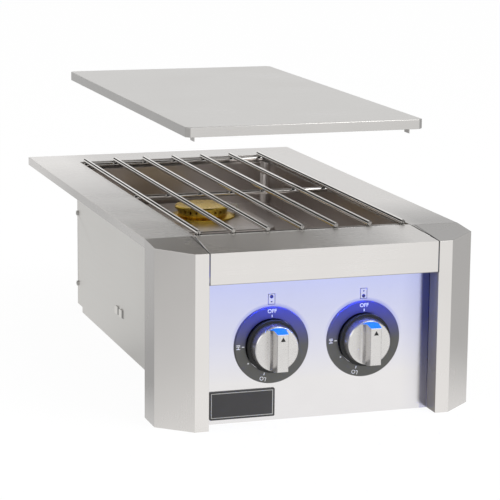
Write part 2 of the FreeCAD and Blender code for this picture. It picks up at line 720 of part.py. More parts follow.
def add_louvres(body, side):
    """Two hoods that rise towards the rear and are open there."""
    for step in (0, 1):
        middle = FOLD + S.louvre_behind + step * S.louvre_pitch
        rear = middle + S.louvre_length / 2
        front = middle - S.louvre_length / 2
        low = TOP - S.louvre_below - S.louvre_height / 2
        crest = WALL_OUT + S.louvre_rise
        hood = add_sketch(body, "XY_Plane", low)
        root = WALL_OUT - S.sheet / 4
        points = [(root, front), (WALL_OUT, front), (crest, rear), (root, rear)]
        draw_outline(hood, [(side * x, y) for x, y in points])
        pad(body, hood, S.louvre_height)
        hollow = add_sketch(body, "XY_Plane", low + S.sheet / 2)
        points = [(WALL_IN - CLEAR, front + S.sheet), (WALL_OUT - S.sheet / 2, front + S.sheet * 3),
                  (crest - S.sheet / 2, rear + CLEAR), (WALL_IN - CLEAR, rear + CLEAR)]
        draw_outline(hollow, [(side * x, y) for x, y in points])
        pocket(body, hollow, S.louvre_height - S.sheet, reversed_way=True)


def rear_panel():
    """The box's back, with side flanges, a hole for the gas inlet and vent slots."""
    body = new_body("rear_panel")
    plan = add_sketch(body, "XY_Plane", S.notch_height)
    edge = TRAY_HALF
    depth = S.rear_flange
    draw_outline(plan, [
        (-edge, BOX_REAR - depth), (-edge, BOX_REAR), (edge, BOX_REAR), (edge, BOX_REAR - depth),
        (edge - S.sheet, BOX_REAR - depth), (edge - S.sheet, BOX_REAR - S.sheet),
        (S.sheet - edge, BOX_REAR - S.sheet), (S.sheet - edge, BOX_REAR - depth),
    ])
    pad(body, plan, TOP - S.sheet - S.tray_gap - S.notch_height)
    holes = add_sketch(body, "XZ_Plane", S.sheet + CLEAR - BOX_REAR)
    draw_circle(holes, FEED_X, MANIFOLD_Z, S.nipple_radius + S.hole_play)
    low, high = KNOB_Z - S.slot_height / 2, KNOB_Z + S.slot_height / 2
    for step in range(-4, 5):
        x = step * S.slot_pitch
        draw_rectangle(holes, x - S.slot_width / 2, low, x + S.slot_width / 2, high)
    pocket(body, holes, S.sheet + CLEAR * 2)
    cut_side_screw_holes(body)
    return keep(body, "rear_panel")


def bottom_panel():
    """The box's floor, a tray with turned-up side lips and vent holes, which ends at the rear notches."""
    body = new_body("bottom_panel")
    edge = TRAY_HALF
    front = PANEL + S.panel_flange + S.seam
    rear = BOX_REAR - S.notch_length
    plan = add_sketch(body, "XY_Plane")
    draw_rectangle(plan, -edge + S.sheet, front, edge - S.sheet, rear)
    pad(body, plan, S.sheet)
    for way in (-1, 1):
        wall = add_sketch(body, "XY_Plane")
        draw_rectangle(wall, way * (edge - S.tray_lip_wall), front, way * edge, rear)
        pad(body, wall, S.tray_lip)
    holes = add_sketch(body, "XY_Plane", S.sheet + CLEAR)
    for column in range(-1, 2):
        for row in range(-1, 2):
            y = FOLD + S.burner_middle + row * S.vent_pitch
            draw_circle(holes, column * S.vent_pitch, y, S.vent_radius)
    pocket(body, holes, S.sheet + CLEAR * 2)
    return keep(body, "bottom_panel")


def burner_liner():
    """The deep tray under the grate, with a ledge at its front and rear for the cross rods."""
    body = new_body("burner_liner")
    edge = TRAY_HALF
    front = FOLD + S.opening_front + S.seam
    rear = FOLD + S.opening_rear - S.seam
    rim = add_sketch(body, "XY_Plane", LEDGE_Z)
    draw_rectangle(rim, -edge, front, edge, rear)
    ledge = pad(body, rim, S.sheet, reversed_way=True)
    tub = add_sketch(body, "XY_Plane", LEDGE_Z)
    draw_rectangle(tub, -edge, front + S.ledge_width, edge, rear - S.ledge_width)
    pad(body, tub, S.liner_depth + S.sheet, reversed_way=True)
    inner = add_sketch(body, "XY_Plane", LEDGE_Z)
    draw_rectangle(inner, -edge + S.sheet, front + S.ledge_width + S.sheet, edge - S.sheet,
                   rear - S.ledge_width - S.sheet)
    hollow = pocket(body, inner, S.liner_depth)
    doc.recompute()
    low, high = FLOOR_Z, LEDGE_Z
    corners = edges_where(hollow, lambda e: is_along(e, "z") and near(e.BoundBox.ZMin, low)
                          and near(e.BoundBox.ZMax, high))
    fillet(body, hollow, corners, S.liner_round)
    doc.recompute()
    holes = add_sketch(body, "XY_Plane", FLOOR_Z + CLEAR)
    for middle in (FRONT_BURNER, REAR_BURNER):
        draw_circle(holes, 0, middle, S.throat_radius + S.liner_play)
        draw_circle(holes, S.electrode_offset, middle, S.ceramic_radius + S.liner_play)
    pocket(body, holes, S.sheet + CLEAR * 2)
    return keep(body, "burner_liner")


def burner_plate(name, middle):
    """A raised plate with rounded corners that carries one burner."""
    body = new_body(name)
    plan = add_sketch(body, "XY_Plane", FLOOR_Z)
    across, along = S.plate_width / 2, S.plate_depth / 2
    draw_rectangle(plan, -across, middle - along, across, middle + along)
    block = pad(body, plan, S.plate_height)
    doc.recompute()
    upright = fillet(body, block, edges_where(block, lambda e: is_along(e, "z")), S.plate_round)
    doc.recompute()
    rim = edges_where(upright, lambda e: near(e.BoundBox.ZMin, PLATE_Z) and near(e.BoundBox.ZMax, PLATE_Z))
    rounded = fillet(body, upright, rim, S.sheet * 2)
    doc.recompute()
    bottom = faces_where(rounded, lambda f: near(f.BoundBox.ZMax, FLOOR_Z))
    shell(body, rounded, bottom, S.sheet)
    doc.recompute()
    holes = add_sketch(body, "XY_Plane", PLATE_Z + CLEAR)
    draw_circle(holes, 0, middle, S.throat_radius + S.hole_play)
    draw_circle(holes, S.electrode_offset, middle, S.ceramic_radius + S.hole_play)
    pocket(body, holes, S.sheet + CLEAR * 2)
    return keep(body, name)


def burner_base(name, middle):
    """The brass burner: sloping foot, port ring cut with slots, and neck."""
    body = new_body(name)
    side = add_sketch(body, "XZ_Plane")
    foot = S.foot_height
    neck = S.throat_radius
    inside = S.tube_radius + S.slide_gap
    draw_outline(side, [
        (inside, -S.throat_length), (neck, -S.throat_length), (neck, 0), (S.burner_radius, 0),
        (S.burner_radius, S.foot_edge), (S.ring_radius + S.foot_land, foot), (S.ring_radius, foot),
        (S.ring_radius, foot + S.ring_height), (S.ring_radius - S.ring_wall, foot + S.ring_height),
        (S.ring_radius - S.ring_wall, S.foot_floor), (inside, S.foot_floor),
    ])
    revolve(body, side)
    slot = add_sketch(body, "YZ_Plane", S.ring_radius - S.ring_wall - CLEAR)
    top = foot + S.ring_height
    draw_rectangle(slot, -S.port_width / 2, top - S.port_depth, S.port_width / 2, top + CLEAR)
    port = pocket(body, slot, S.ring_wall + CLEAR * 2, reversed_way=True)
    ports = body.newObject("PartDesign::PolarPattern", body.Name + "_ports")
    ports.Originals = [port]
    ports.Axis = (side, ["V_Axis"])
    ports.Angle = 360
    ports.Occurrences = int(S.port_count.value)
    ports.setExpression("Occurrences", S.port_count.text)
    body.Tip = ports
    place(body, 0, middle, PLATE_Z)
    return keep(body, name)


def burner_cap(name, middle):
    """The loose brass cap, slightly crowned, with a spigot that finds its seat."""
    body = new_body(name)
    side = add_sketch(body, "XZ_Plane")
    inside = S.ring_radius - S.ring_wall - S.cap_play
    hollow = inside - S.spigot_wall
    draw_outline(side, [
        (0, -S.cap_hollow), (hollow, -S.cap_hollow), (hollow, -S.cap_spigot), (inside, -S.cap_spigot),
        (inside, 0), (S.cap_radius, 0), (S.cap_radius, S.cap_rim),
        (S.cap_radius - S.cap_round, S.cap_rim + S.cap_round),
        (S.cap_radius / 2, S.cap_height - S.cap_crown), (0, S.cap_height),
    ])
    revolve(body, side)
    place(body, 0, middle, RING_TOP + S.rest_gap)
    return keep(body, name)


def corner_arc(enter, corner, leave):
    """The arc that leaves one point towards a corner and reaches the other from it, both equally far away."""
    one = (enter - corner).normalize()
    two = (leave - corner).normalize()
    half = math.acos(max(-1.0, min(1.0, one.dot(two)))) / 2
    radius = (enter - corner).Length * math.tan(half)
    middle = corner + (one + two).normalize() * (radius / math.sin(half) - radius)
    return Part.Arc(enter, middle, leave).toShape()


def rounded_path(points, radius):
    """A wire along the points, with tangent arcs of one radius at the corners."""
    vectors = [FreeCAD.Vector(*[number(value) for value in point]) for point in points]
    edges = []
    start = vectors[0]
    for before, corner, after in zip(vectors, vectors[1:], vectors[2:]):
        one = (before - corner).normalize()
        two = (after - corner).normalize()
        reach = number(radius) / math.tan(math.acos(one.dot(two)) / 2)
        enter = corner + one * reach
        leave = corner + two * reach
        edges.append(Part.LineSegment(start, enter).toShape())
        edges.append(corner_arc(enter, corner, leave))
        start = leave
    edges.append(Part.LineSegment(start, vectors[-1]).toShape())
    return Part.Wire(edges)


def coil_path(radius, height, turns):
    """A helix up the Z axis, as two tangent arcs for each quarter of a turn."""
    quarters = int(turns) * 4
    rise = height / quarters
    spots = []
    for step in range(quarters + 1):
        angle = step * math.pi / 2
        point = FreeCAD.Vector(radius * math.cos(angle), radius * math.sin(angle), rise * step)
        along = FreeCAD.Vector(-radius * math.sin(angle), radius * math.cos(angle), rise / (math.pi / 2))
        spots.append((point, along.normalize()))
    edges = []
    for (start, one), (end, two) in zip(spots, spots[1:]):
        chord = end - start
        both = one + two
        lead = chord.dot(both)
        short = 4 - both.dot(both)
        reach = (math.sqrt(lead * lead + short * chord.dot(chord)) - lead) / short
        first = start + one * reach
        second = end - two * reach
        middle = (first + second) / 2
        edges.append(corner_arc(start, first, middle))
        edges.append(corner_arc(middle, second, end))
    return Part.Wire(edges)


def swept(path, radius, wall=None):
    """A round rod along a path, or a tube where it has a wall."""
    start = path.Vertexes[0].Point
    along = path.Edges[0].tangentAt(path.Edges[0].FirstParameter)
    ring = Part.Wire([Part.Circle(start, along, number(radius)).toShape()])
    rod = path.makePipe(Part.Face(ring))
    if wall is None:
        return rod
    hollow = Part.Wire([Part.Circle(start, along, number(radius) - number(wall)).toShape()])
    return rod.cut(path.makePipe(Part.Face(hollow)))


def swept_wire(path, radius):
    """A thin wire along a path, with flat sides in place of a round section."""
    start = path.Vertexes[0].Point
    along = path.Edges[0].tangentAt(path.Edges[0].FirstParameter)
    spoke = along.cross(FreeCAD.Vector(0, 0, 1) if abs(along.z) < 0.9 else FreeCAD.Vector(1, 0, 0))
    spoke = spoke.normalize() * number(radius)
    turns = [FreeCAD.Rotation(along, 360 / WIRE_SIDES * step) for step in range(WIRE_SIDES + 1)]
    corners = [start + turn.multVec(spoke) for turn in turns]
    return path.makePipe(Part.Face(Part.makePolygon(corners)))


def shaped(name, shape, placement=None):
    """A sub-part whose shape is made directly, then put in its place."""
    item = doc.addObject("Part::Feature", name + "_shape")
    item.Shape = shape
    item.Placement = placement or FreeCAD.Placement()
    return keep(item, name)


def mixer_tube(name, side, middle):
    """The tube from the gas jet to a burner's neck, with a bell mouth for the air."""
    x = side * KNOB_X.value
    z = KNOB_Z.value
    start = TUBE_Y.value
    top = TUBE_TOP.value
    bell = start + S.bell_length.value
    points = [(x, bell, z), (x, middle - S.tube_turn, z), (0, middle, z), (0, middle, top)]
    tube = swept(rounded_path(points, S.tube_bend), S.tube_radius, S.tube_wall)
    mouth = Part.makeCone(S.bell_radius.value, S.tube_radius.value, S.bell_length.value,
                          FreeCAD.Vector(x, start, z), FreeCAD.Vector(0, 1, 0))
    wall = S.tube_wall.value
    inside = Part.makeCone(S.bell_radius.value - wall, S.tube_radius.value - wall, S.bell_length.value,
                           FreeCAD.Vector(x, start, z), FreeCAD.Vector(0, 1, 0))
    return shaped(name, tube.fuse(mouth.cut(inside)).removeSplitter())


def air_shutter(name, side):
    """A slotted sleeve on the mixer tube that sets the air."""
    y = TUBE_Y + S.bell_length + S.shutter_behind
    inner = S.tube_radius + S.slide_gap
    x = side * KNOB_X
    outer = cylinder(name + "_outer", inner + S.shutter_wall, S.shutter_length, x, y, KNOB_Z, **TOWARDS_REAR)
    bore = cylinder(name + "_bore", inner, S.shutter_length + CLEAR * 2, x, y - CLEAR, KNOB_Z, **TOWARDS_REAR)
    window = box(name + "_window", x - S.tube_radius / 2, y + S.shutter_length / 4,
                 KNOB_Z + S.tube_radius / 2, S.tube_radius, S.shutter_length / 2, S.tube_radius)
    sleeve = cut(name + "_sleeve", outer, bore)
    return keep(cut(name + "_cut", sleeve, window), name)


def gas_valve(name, side):
    """A brass valve: block, round nose with the stem's bore, mounting ears and inlet stub."""
    x = side * KNOB_X
    rear = VALVE_Y + S.nose_length
    block = box(name + "_block", x - S.valve_width / 2, rear, KNOB_Z - S.valve_height / 2,
                S.valve_width, S.valve_depth, S.valve_height)
    nose = cylinder(name + "_nose", S.valve_nose, S.nose_length, x, VALVE_Y, KNOB_Z, **TOWARDS_REAR)
    stub_low = MANIFOLD_Z + S.manifold_radius - S.stub_entry
    stub_length = KNOB_Z - S.valve_height / 2 - stub_low + CLEAR
    stub = cylinder(name + "_stub", S.inlet_radius, stub_length, x, MANIFOLD_Y, stub_low)
    reach = EAR_SCREW + S.ear_half
    ear = box(name + "_ear", x - S.ear_half, rear, KNOB_Z - reach, S.ear_half * 2, S.ear_thick, reach * 2)
    whole = fuse(name + "_whole", [block, nose, stub, ear])
    holes = [cylinder(name + "_bore", S.stem_radius + S.slide_gap, CLEAR + S.nose_length + S.bore_depth, x,
                      VALVE_Y - CLEAR, KNOB_Z, **TOWARDS_REAR)]
    for up in (-1, 1):
        label = "%s_ear_hole_%d" % (name, up + 1)
        holes.append(cylinder(label, S.screw_radius + S.slide_gap, S.ear_thick + CLEAR * 2, x, rear - CLEAR,
                              KNOB_Z + up * EAR_SCREW, **TOWARDS_REAR))
    return keep(cut(name + "_bored", whole, fuse(name + "_holes", holes)), name)


def valve_spacers(name):
    """Sleeves that hold the valves' ears off the panel."""
    items = []
    front = PANEL + S.sheet
    length = VALVE_Y + S.nose_length - front
    for side in (-1, 1):
        for up in (-1, 1):
            label = "spacer_%d_%d" % (side + 1, up + 1)
            height = KNOB_Z + up * EAR_SCREW
            outer = cylinder(label + "_outer", S.screw_radius + S.spacer_wall, length, side * KNOB_X,
                             front, height, **TOWARDS_REAR)
            bore = cylinder(label + "_bore", S.screw_radius + S.slide_gap, length + CLEAR * 2, side * KNOB_X,
                            front - CLEAR, height, **TOWARDS_REAR)
            items.append(cut(label, outer, bore))
    return keep(group(name + "_group", items), name)


def screw(label, length, x, y, z, axis, angle):
    """A pan-headed screw: the head stands at the point and the shank runs on."""
    head = cylinder(label + "_head", S.screw_head, S.head_thick, x, y, z, axis, angle)
    direction = FreeCAD.Rotation(FreeCAD.Vector(*axis), angle).multVec(FreeCAD.Vector(0, 0, 1))
    deeper = [part + float(round(step)) * (S.head_thick - BITE) for part, step in zip((x, y, z), direction)]
    shank = cylinder(label + "_shank", S.screw_radius, length, deeper[0], deeper[1], deeper[2], axis, angle)
    return fuse(label, [head, shank])


def valve_screws():
    """The long screws that run forward through the valves' ears and spacers into the panel."""
    items = []
    for side in (-1, 1):
        for up in (-1, 1):
            start = EAR_REAR + S.head_thick
            length = start - PANEL - S.head_thick + BITE
            label = "valve_screw_%d_%d" % (side + 1, up + 1)
            items.append(screw(label, length, side * KNOB_X, start, KNOB_Z + up * EAR_SCREW, (1, 0, 0), 90))
    return keep(group("valve_screws_group", items), "valve_screws")


def side_screws():
    """The small screws that join the box's sides to its back."""
    items = []
    for side in (-1, 1):
        for label, below in (("upper", S.screw_upper), ("lower", S.screw_lower)):
            label = "side_screw_%s_%d" % (label, side + 1)
            start = side * (WALL_OUT + S.head_thick)
            items.append(screw(label, S.screw_length, start, BOX_REAR - S.screw_inset, TOP - below, (0, 1, 0),
                               -90 * side))
    return keep(group("side_screws_group", items), "side_screws")


def valve_stem(name, side):
    """The turned stem that the knob sits on, with the shoulder that pushes the collar."""
    body = new_body(name)
    plan = add_sketch(body, "XZ_Plane")
    front = HUB_BACK - S.hub_thick - S.stem_grip
    rear = VALVE_Y + S.nose_length + S.stem_reach
    shoulder = COLLAR_Y - S.shoulder_gap
    draw_circle(plan, 0, 0, S.stem_radius)
    shaft = pad(body, plan, rear - front, reversed_way=True)
    ring = add_sketch(body, "XZ_Plane", -(shoulder - S.shoulder_length - front))
    draw_circle(ring, 0, 0, S.stem_shoulder)
    pad(body, ring, S.shoulder_length, reversed_way=True)
    flat = add_sketch(body, "XZ_Plane", CLEAR)
    draw_rectangle(flat, -S.stem_radius * 2, S.stem_flat, S.stem_radius * 2, S.stem_radius * 2)
    pocket(body, flat, S.stem_grip + S.hub_thick + CLEAR)
    place(body, side * KNOB_X, front, KNOB_Z)
    return keep(body, name)


def stem_collar(name, side):
    """The ring between the stem's shoulder and the return spring: it slides and doesn't turn."""
    x = side * KNOB_X
    outer = cylinder(name + "_outer", S.collar_radius, S.collar_thick, x, COLLAR_Y, KNOB_Z, **TOWARDS_REAR)
    bore = cylinder(name + "_bore", S.stem_radius + S.slide_gap, S.collar_thick + CLEAR * 2, x,
                    COLLAR_Y - CLEAR, KNOB_Z, **TOWARDS_REAR)
    return keep(cut(name + "_ring", outer, bore), name)


def least_turn_gap(path, wire):
    """The least gap between neighbouring turns of a coil, measured on points of its path."""
    points = path.discretize(Number=241)
    per_turn = 240 // int(S.spring_turns.value)
    far = per_turn // 2
    gaps = [(a - b).Length - wire for i, a in enumerate(points) for b in points[i + far:]]
    return min(gaps)


def return_spring(name, side):
    """The coil that pushes the knob out again, one unbroken tube."""
    wire = S.spring_wire.value
    path = coil_path(S.spring_radius.value, S.spring_length.value - wire, S.spring_turns.value)
    print("%s: least gap between turns %.2f" % (name, least_turn_gap(path, wire)))
    turn = FreeCAD.Rotation(FreeCAD.Vector(1, 0, 0), -90)
    point = FreeCAD.Vector(side * KNOB_X.value, SPRING_Y.value + wire / 2, KNOB_Z.value)
    return shaped(name, swept_wire(path, wire / 2), FreeCAD.Placement(point, turn))


def knob_bezel(name, side):
    """The round dial plate behind a knob."""
    body = new_body(name)
    half = add_sketch(body, "XY_Plane")
    draw_outline(half, [
        (S.bezel_hole, 0), (S.bezel_radius, 0), (S.bezel_radius, S.bezel_thick - S.bezel_chamfer),
        (S.bezel_radius - S.bezel_chamfer, S.bezel_thick), (S.bezel_hole + S.bezel_bevel, S.bezel_thick),
        (S.bezel_hole, S.bezel_thick - S.bezel_bevel),
    ])
    revolve(body, half)
    place(body, side * KNOB_X, PANEL - S.seat_gap, KNOB_Z, (1, 0, 0), 180)
    return keep(body, name)


def knob_hub(name, side):
    """The black hub behind the knob's disc, bored for the stem."""
    body = new_body(name)
    half = add_sketch(body, "XY_Plane")
    bore = S.stem_radius + S.slide_gap
    draw_outline(half, [
        (bore, 0), (S.hub_radius - S.hub_cut, 0), (S.hub_radius, S.hub_cut),
        (S.hub_radius, S.hub_thick - S.hub_cut), (S.hub_radius - S.hub_cut, S.hub_thick), (bore, S.hub_thick),
    ])
    revolve(body, half)
    place(body, side * KNOB_X, HUB_BACK, KNOB_Z, (1, 0, 0), 180)
    return keep(body, name)


def grip_section(body, offset, width, height):
    """One section of the grip bar, parallel to the knob's face."""
    section = add_sketch(body, "XZ_Plane", offset)
    draw_rectangle(section, -width / 2, -height / 2, width / 2, height / 2)
    return section


def knob(name, side):
    """The metal knob: a tapered disc with a raised bar that flares into its face."""
    body = new_body(name)
    half = add_sketch(body, "XY_Plane")
    bore = S.stem_radius + S.slide_gap
    deep = S.stem_grip + CLEAR
    draw_outline(half, [
        (0, -S.knob_disc), (0, -deep), (bore, -deep), (bore, 0), (S.knob_radius, 0),
        (S.knob_radius, -S.knob_straight), (S.knob_face, -S.knob_disc),
    ])
    revolve(body, half)
    doc.recompute()
    reach = S.knob_disc + S.grip_reach
    root = grip_section(body, S.knob_disc - S.knob_edge, S.grip_root, S.grip_foot)
    foot = grip_section(body, S.knob_disc + S.foot_out, S.foot_width, S.foot_tall)
    waist = grip_section(body, S.knob_disc + S.waist_out, S.grip_waist, S.waist_height)
    front = grip_section(body, reach, S.grip_width, S.grip_height)
    bar = body.newObject("PartDesign::AdditiveLoft", body.Name + "_grip")
    bar.Profile = root
    bar.Sections = [foot, waist, front]
    bar.Ruled = True
    doc.recompute()
    rim = edges_where(bar, lambda e: near(e.BoundBox.YMin, -reach) and near(e.BoundBox.YMax, -reach))
    fillet(body, bar, rim, S.grip_round)
    doc.recompute()
    around = add_sketch(body, "XY_Plane")
    face_edge = S.knob_face - S.knob_edge
    draw_outline(around, [
        (face_edge, -S.knob_disc), (face_edge + S.knob_edge * 2, S.knob_edge * 2 - S.knob_disc),
        (S.knob_radius * 2, S.knob_edge * 2 - S.knob_disc), (S.knob_radius * 2, -reach - CLEAR),
        (face_edge, -reach - CLEAR),
    ])
    revolve(body, around, groove=True)
    place(body, side * KNOB_X, KNOB_BACK, KNOB_Z)
    return keep(body, name)


def orifice_jet(name, side):
    """The brass jet behind a valve: a hexagon with a drilled nose."""
    item = doc.addObject("Part::Prism", name + "_hex")
    item.Polygon = 6
    bind(item, "Circumradius", S.jet_hex / math.sqrt(3))
    bind(item, "Height", S.hex_length)
    place(item, side * KNOB_X, VALVE_REAR, KNOB_Z, **TOWARDS_REAR)
    nose = doc.addObject("Part::Cone", name + "_nose")
    bind(nose, "Radius1", S.jet_root)
    bind(nose, "Radius2", S.jet_tip)
    bind(nose, "Height", S.jet_length - S.hex_length + BITE)
    place(nose, side * KNOB_X, VALVE_REAR + S.hex_length - BITE, KNOB_Z, **TOWARDS_REAR)
    hole = cylinder(name + "_hole", S.jet_bore / 2, S.jet_length + CLEAR * 2, side * KNOB_X,
                    VALVE_REAR - CLEAR, KNOB_Z, **TOWARDS_REAR)
    return keep(cut(name + "_drilled", fuse(name + "_whole", [item, nose]), hole), name)


def gas_manifold():
    """The tube below the valves that feeds them, closed at its right end."""
    turn = dict(axis=(0, 1, 0), angle=90)
    left = -S.manifold_length / 2
    place_at = (left, MANIFOLD_Y, MANIFOLD_Z)
    wall = S.manifold_wall
    outer = cylinder("manifold_outer", S.manifold_radius, S.manifold_length, *place_at, **turn)
    bore = cylinder("manifold_inner", S.manifold_radius - wall, S.manifold_length - wall, *place_at, **turn)
    tube = cut("manifold_tube", outer, bore)
    sockets = []
    for side in (-1, 1):
        sockets.append(cylinder("manifold_socket_%d" % (side + 1), S.inlet_radius + S.seat_gap,
                                S.manifold_radius + CLEAR, side * KNOB_X, MANIFOLD_Y, MANIFOLD_Z))
    return keep(cut("manifold_drilled", tube, fuse("manifold_sockets", sockets)), "gas_manifold")


def feed_pipe():
    """The pipe from the inlet nipple forward to the manifold's left end."""
    x = FEED_X.value
    end = -S.manifold_length.value / 2
    points = [
        (end, MANIFOLD_Y, MANIFOLD_Z),
        (x, MANIFOLD_Y, MANIFOLD_Z),
        (x, BOX_REAR - S.sheet - S.nut_thick, MANIFOLD_Z),
    ]
    return shaped("gas_feed_pipe", swept(rounded_path(points, S.feed_bend), S.feed_radius, S.feed_wall))


def inlet_nipple():
    """The threaded gas inlet through the rear panel, with a nut on each side."""
    x = FEED_X
    inside = BOX_REAR - S.sheet - S.nut_thick
    length = S.nut_thick + S.sheet + S.nipple_length
    barrel = cylinder("nipple_barrel", S.nipple_radius, length, x, inside, MANIFOLD_Z, **TOWARDS_REAR)
    nuts = []
    for label, y in (("inner", inside), ("outer", BOX_REAR)):
        nut = doc.addObject("Part::Prism", "nipple_nut_" + label)
        nut.Polygon = 6
        bind(nut, "Circumradius", S.nipple_hex / math.sqrt(3))
        bind(nut, "Height", S.nut_thick if label == "inner" else S.outer_nut)
        place(nut, x, y, MANIFOLD_Z, **TOWARDS_REAR)
        nuts.append(nut)
    bore = cylinder("nipple_bore", S.feed_radius - S.feed_wall, length + CLEAR * 2, x, inside - CLEAR,
                    MANIFOLD_Z, **TOWARDS_REAR)
    return keep(cut("nipple_bored", fuse("nipple_whole", [barrel] + nuts), bore), "gas_inlet_nipple")


def electrode(name, middle):
    """The igniter: a ceramic sleeve through the plate with a bent spark wire."""
    x = S.electrode_offset.value
    y = number(middle)
    z = PLATE_Z.value
    low = z - S.ceramic_below.value
    high = z + S.ceramic_above.value
    ceramic = Part.makeCylinder(S.ceramic_radius.value, high - low, FreeCAD.Vector(x, y, low))
    collar = Part.makeCylinder(S.ceramic_collar.value, S.collar_height.value, FreeCAD.Vector(x, y, z + BITE))
    tip_z = high + S.tip_rise.value
    points = [(x, y, high - BITE), (x, y, tip_z), (x - S.tip_reach.value, y, tip_z)]
    wire = swept_wire(rounded_path(points, S.tip_bend), S.tip_radius)
    return shaped(name, ceramic.fuse([collar, wire]).removeSplitter())


def igniter_wire(name, side, middle, lane, dip):
    """The insulated wire from a valve's spark switch to its electrode."""
    x = side * KNOB_X
    z = PLATE_Z - S.ceramic_below
    valve_top = KNOB_Z + S.valve_height / 2
    start = VALVE_Y + S.nose_length + S.valve_depth / 2
    points = [
        (x, start, valve_top),
        (x, start, z - dip),
        (lane, start + S.wire_start, z - dip),
        (lane, middle - S.wire_turn, z - dip),
        (S.electrode_offset, middle, z - dip),
        (S.electrode_offset, middle, z),
    ]
    return shaped(name, swept_wire(rounded_path(points, S.wire_bend), S.wire_radius))


def heat_shield():
    """The plate between the valves and the hot part of the box, with holes for the tubes."""
    body = new_body("heat_shield")
    edge = TRAY_HALF - S.tray_lip_wall - S.seat_gap
    foot = S.sheet + S.tray_gap
    plan = add_sketch(body, "XY_Plane", foot)
    front = FOLD + S.shield_behind
    flange = front - S.shield_flange
    draw_outline(plan, [
        (-edge, flange), (-edge, front + S.sheet), (edge, front + S.sheet), (edge, flange),
        (edge - S.sheet, flange), (edge - S.sheet, front), (S.sheet - edge, front), (S.sheet - edge, flange),
    ])
    pad(body, plan, KNOB_Z + S.shield_above - foot)
    holes = add_sketch(body, "XZ_Plane", CLEAR - front)
    for side in (-1, 1):
        draw_circle(holes, side * KNOB_X, KNOB_Z, S.tube_radius + S.hole_play)
    draw_circle(holes, FEED_X, MANIFOLD_Z, S.feed_radius + S.hole_play)
    pocket(body, holes, S.sheet + CLEAR * 2)
    return keep(body, "heat_shield")


def badge_plate():
    """The bare plate low on the panel's left, with a raised border."""
    body = new_body("badge_plate")
    plan = add_sketch(body, "XZ_Plane", -PANEL)
    x0 = S.badge_inset - POST_INNER
    x1 = x0 + S.badge_width
    z0 = S.badge_up
    z1 = KNOB_Z - S.badge_below
    draw_rectangle(plan, x0, z0, x1, z1)
    plate = pad(body, plan, S.badge_thick)
    doc.recompute()
    rounded = fillet(body, plate, edges_where(plate, lambda e: is_along(e, "y")), S.badge_round)
    doc.recompute()
    border = S.badge_border
    inner = add_sketch(body, "XZ_Plane", -PANEL + S.badge_thick)
    draw_rectangle(inner, x0 + border, z0 + border, x1 - border, z1 - border)
    pocket(body, inner, S.badge_sunk)
    return keep(body, "badge_plate")


def lamp():
    """The lamp strip and the lens under it, on the lip below the fascia."""
    low = TOP - S.front_drop - S.fascia_height + S.sheet
    front = FASCIA + S.sheet + S.tray_gap
    left = -S.lens_length / 2
    seat = low + S.lens_height - S.strip_thick
    run = S.lens_length - S.lens_end * 2
    bar = box("lens_bar", left, front, low, S.lens_length, S.lens_width, S.lens_height)
    groove = box("lens_groove", left + S.lens_end, front + S.lens_wall, seat,
                 run, S.strip_width, S.strip_thick + CLEAR)
    keep(cut("lens_cut", bar, groove), "lamp_lens")
    play = S.tray_gap
    strip = box("strip_board", left + S.lens_end + play, front + S.lens_wall + play, seat,
                run - play * 2, S.strip_width - play * 2, S.strip_thick)
    keep(strip, "lamp_strip")


def long_rods():
    """The seven rods that carry the pans, each with slightly broken ends."""
    items = []
    bevel = number(S.rod_cut)
    for step in range(-3, 4):
        rod = cylinder("long_rod_%d" % (step + 4), S.rod_radius, S.rod_rear - S.rod_front, step * S.rod_pitch,
                       FOLD + S.rod_front, ROD_Z, **TOWARDS_REAR)
        ends = doc.addObject("Part::Chamfer", "long_rod_ends_%d" % (step + 4))
        ends.Base = rod
        doc.recompute()
        rims = [i + 1 for i, edge in enumerate(rod.Shape.Edges) if isinstance(edge.Curve, Part.Circle)]
        ends.Edges = [(rim, bevel, bevel) for rim in rims]
        items.append(ends)
    return keep(group("long_rods_group", items), "grate_long_rods")


def cross_rods():
    """The three rods welded across below them."""
    items = []
    front = S.rod_front + S.cross_inset
    rear = S.rod_rear - S.cross_inset
    for label, y in (("front", front), ("middle", (front + rear) / 2), ("rear", rear)):
        items.append(cylinder("cross_rod_" + label, S.rod_radius, S.cross_length, -S.cross_length / 2,
                              FOLD + y, CROSS_Z, axis=(0, 1, 0), angle=90))
    return keep(group("cross_rods_group", items), "grate_cross_rods")


def cut_rectangle(half, front, rear, corner):
    """A rectangle's outline with its four corners cut."""
    return [
        (corner - half, front), (half - corner, front), (half, front + corner), (half, rear - corner),
        (half - corner, rear), (corner - half, rear), (-half, rear - corner), (-half, front + corner),
    ]


def lid_panel():
    """The flat lid with turned-down rim and cut corners, held above the frame as it is shown."""
    body = new_body("lid_panel")
    low = TOP + S.lid_hover
    high = low + S.lid_rim
    front = FOLD - S.lid_front
    rear = front + S.lid_length
    plan = add_sketch(body, "XY_Plane", low)
    draw_outline(plan, cut_rectangle(S.lid_width / 2, front, rear, S.lid_corner))
    block = pad(body, plan, S.lid_rim)
    doc.recompute()
    tops = edges_where(block, lambda e: near(e.BoundBox.ZMin, high) and near(e.BoundBox.ZMax, high))
    fillet(body, block, tops, S.edge_round)
    wall = S.lid_sheet
    inner = add_sketch(body, "XY_Plane", low)
    corner = S.lid_corner - wall * (2 - math.sqrt(2))
    draw_outline(inner, cut_rectangle(S.lid_width / 2 - wall, front + wall, rear - wall, corner))
    pocket(body, inner, S.lid_rim - wall, reversed_way=True)
    return keep(body, "lid_panel")


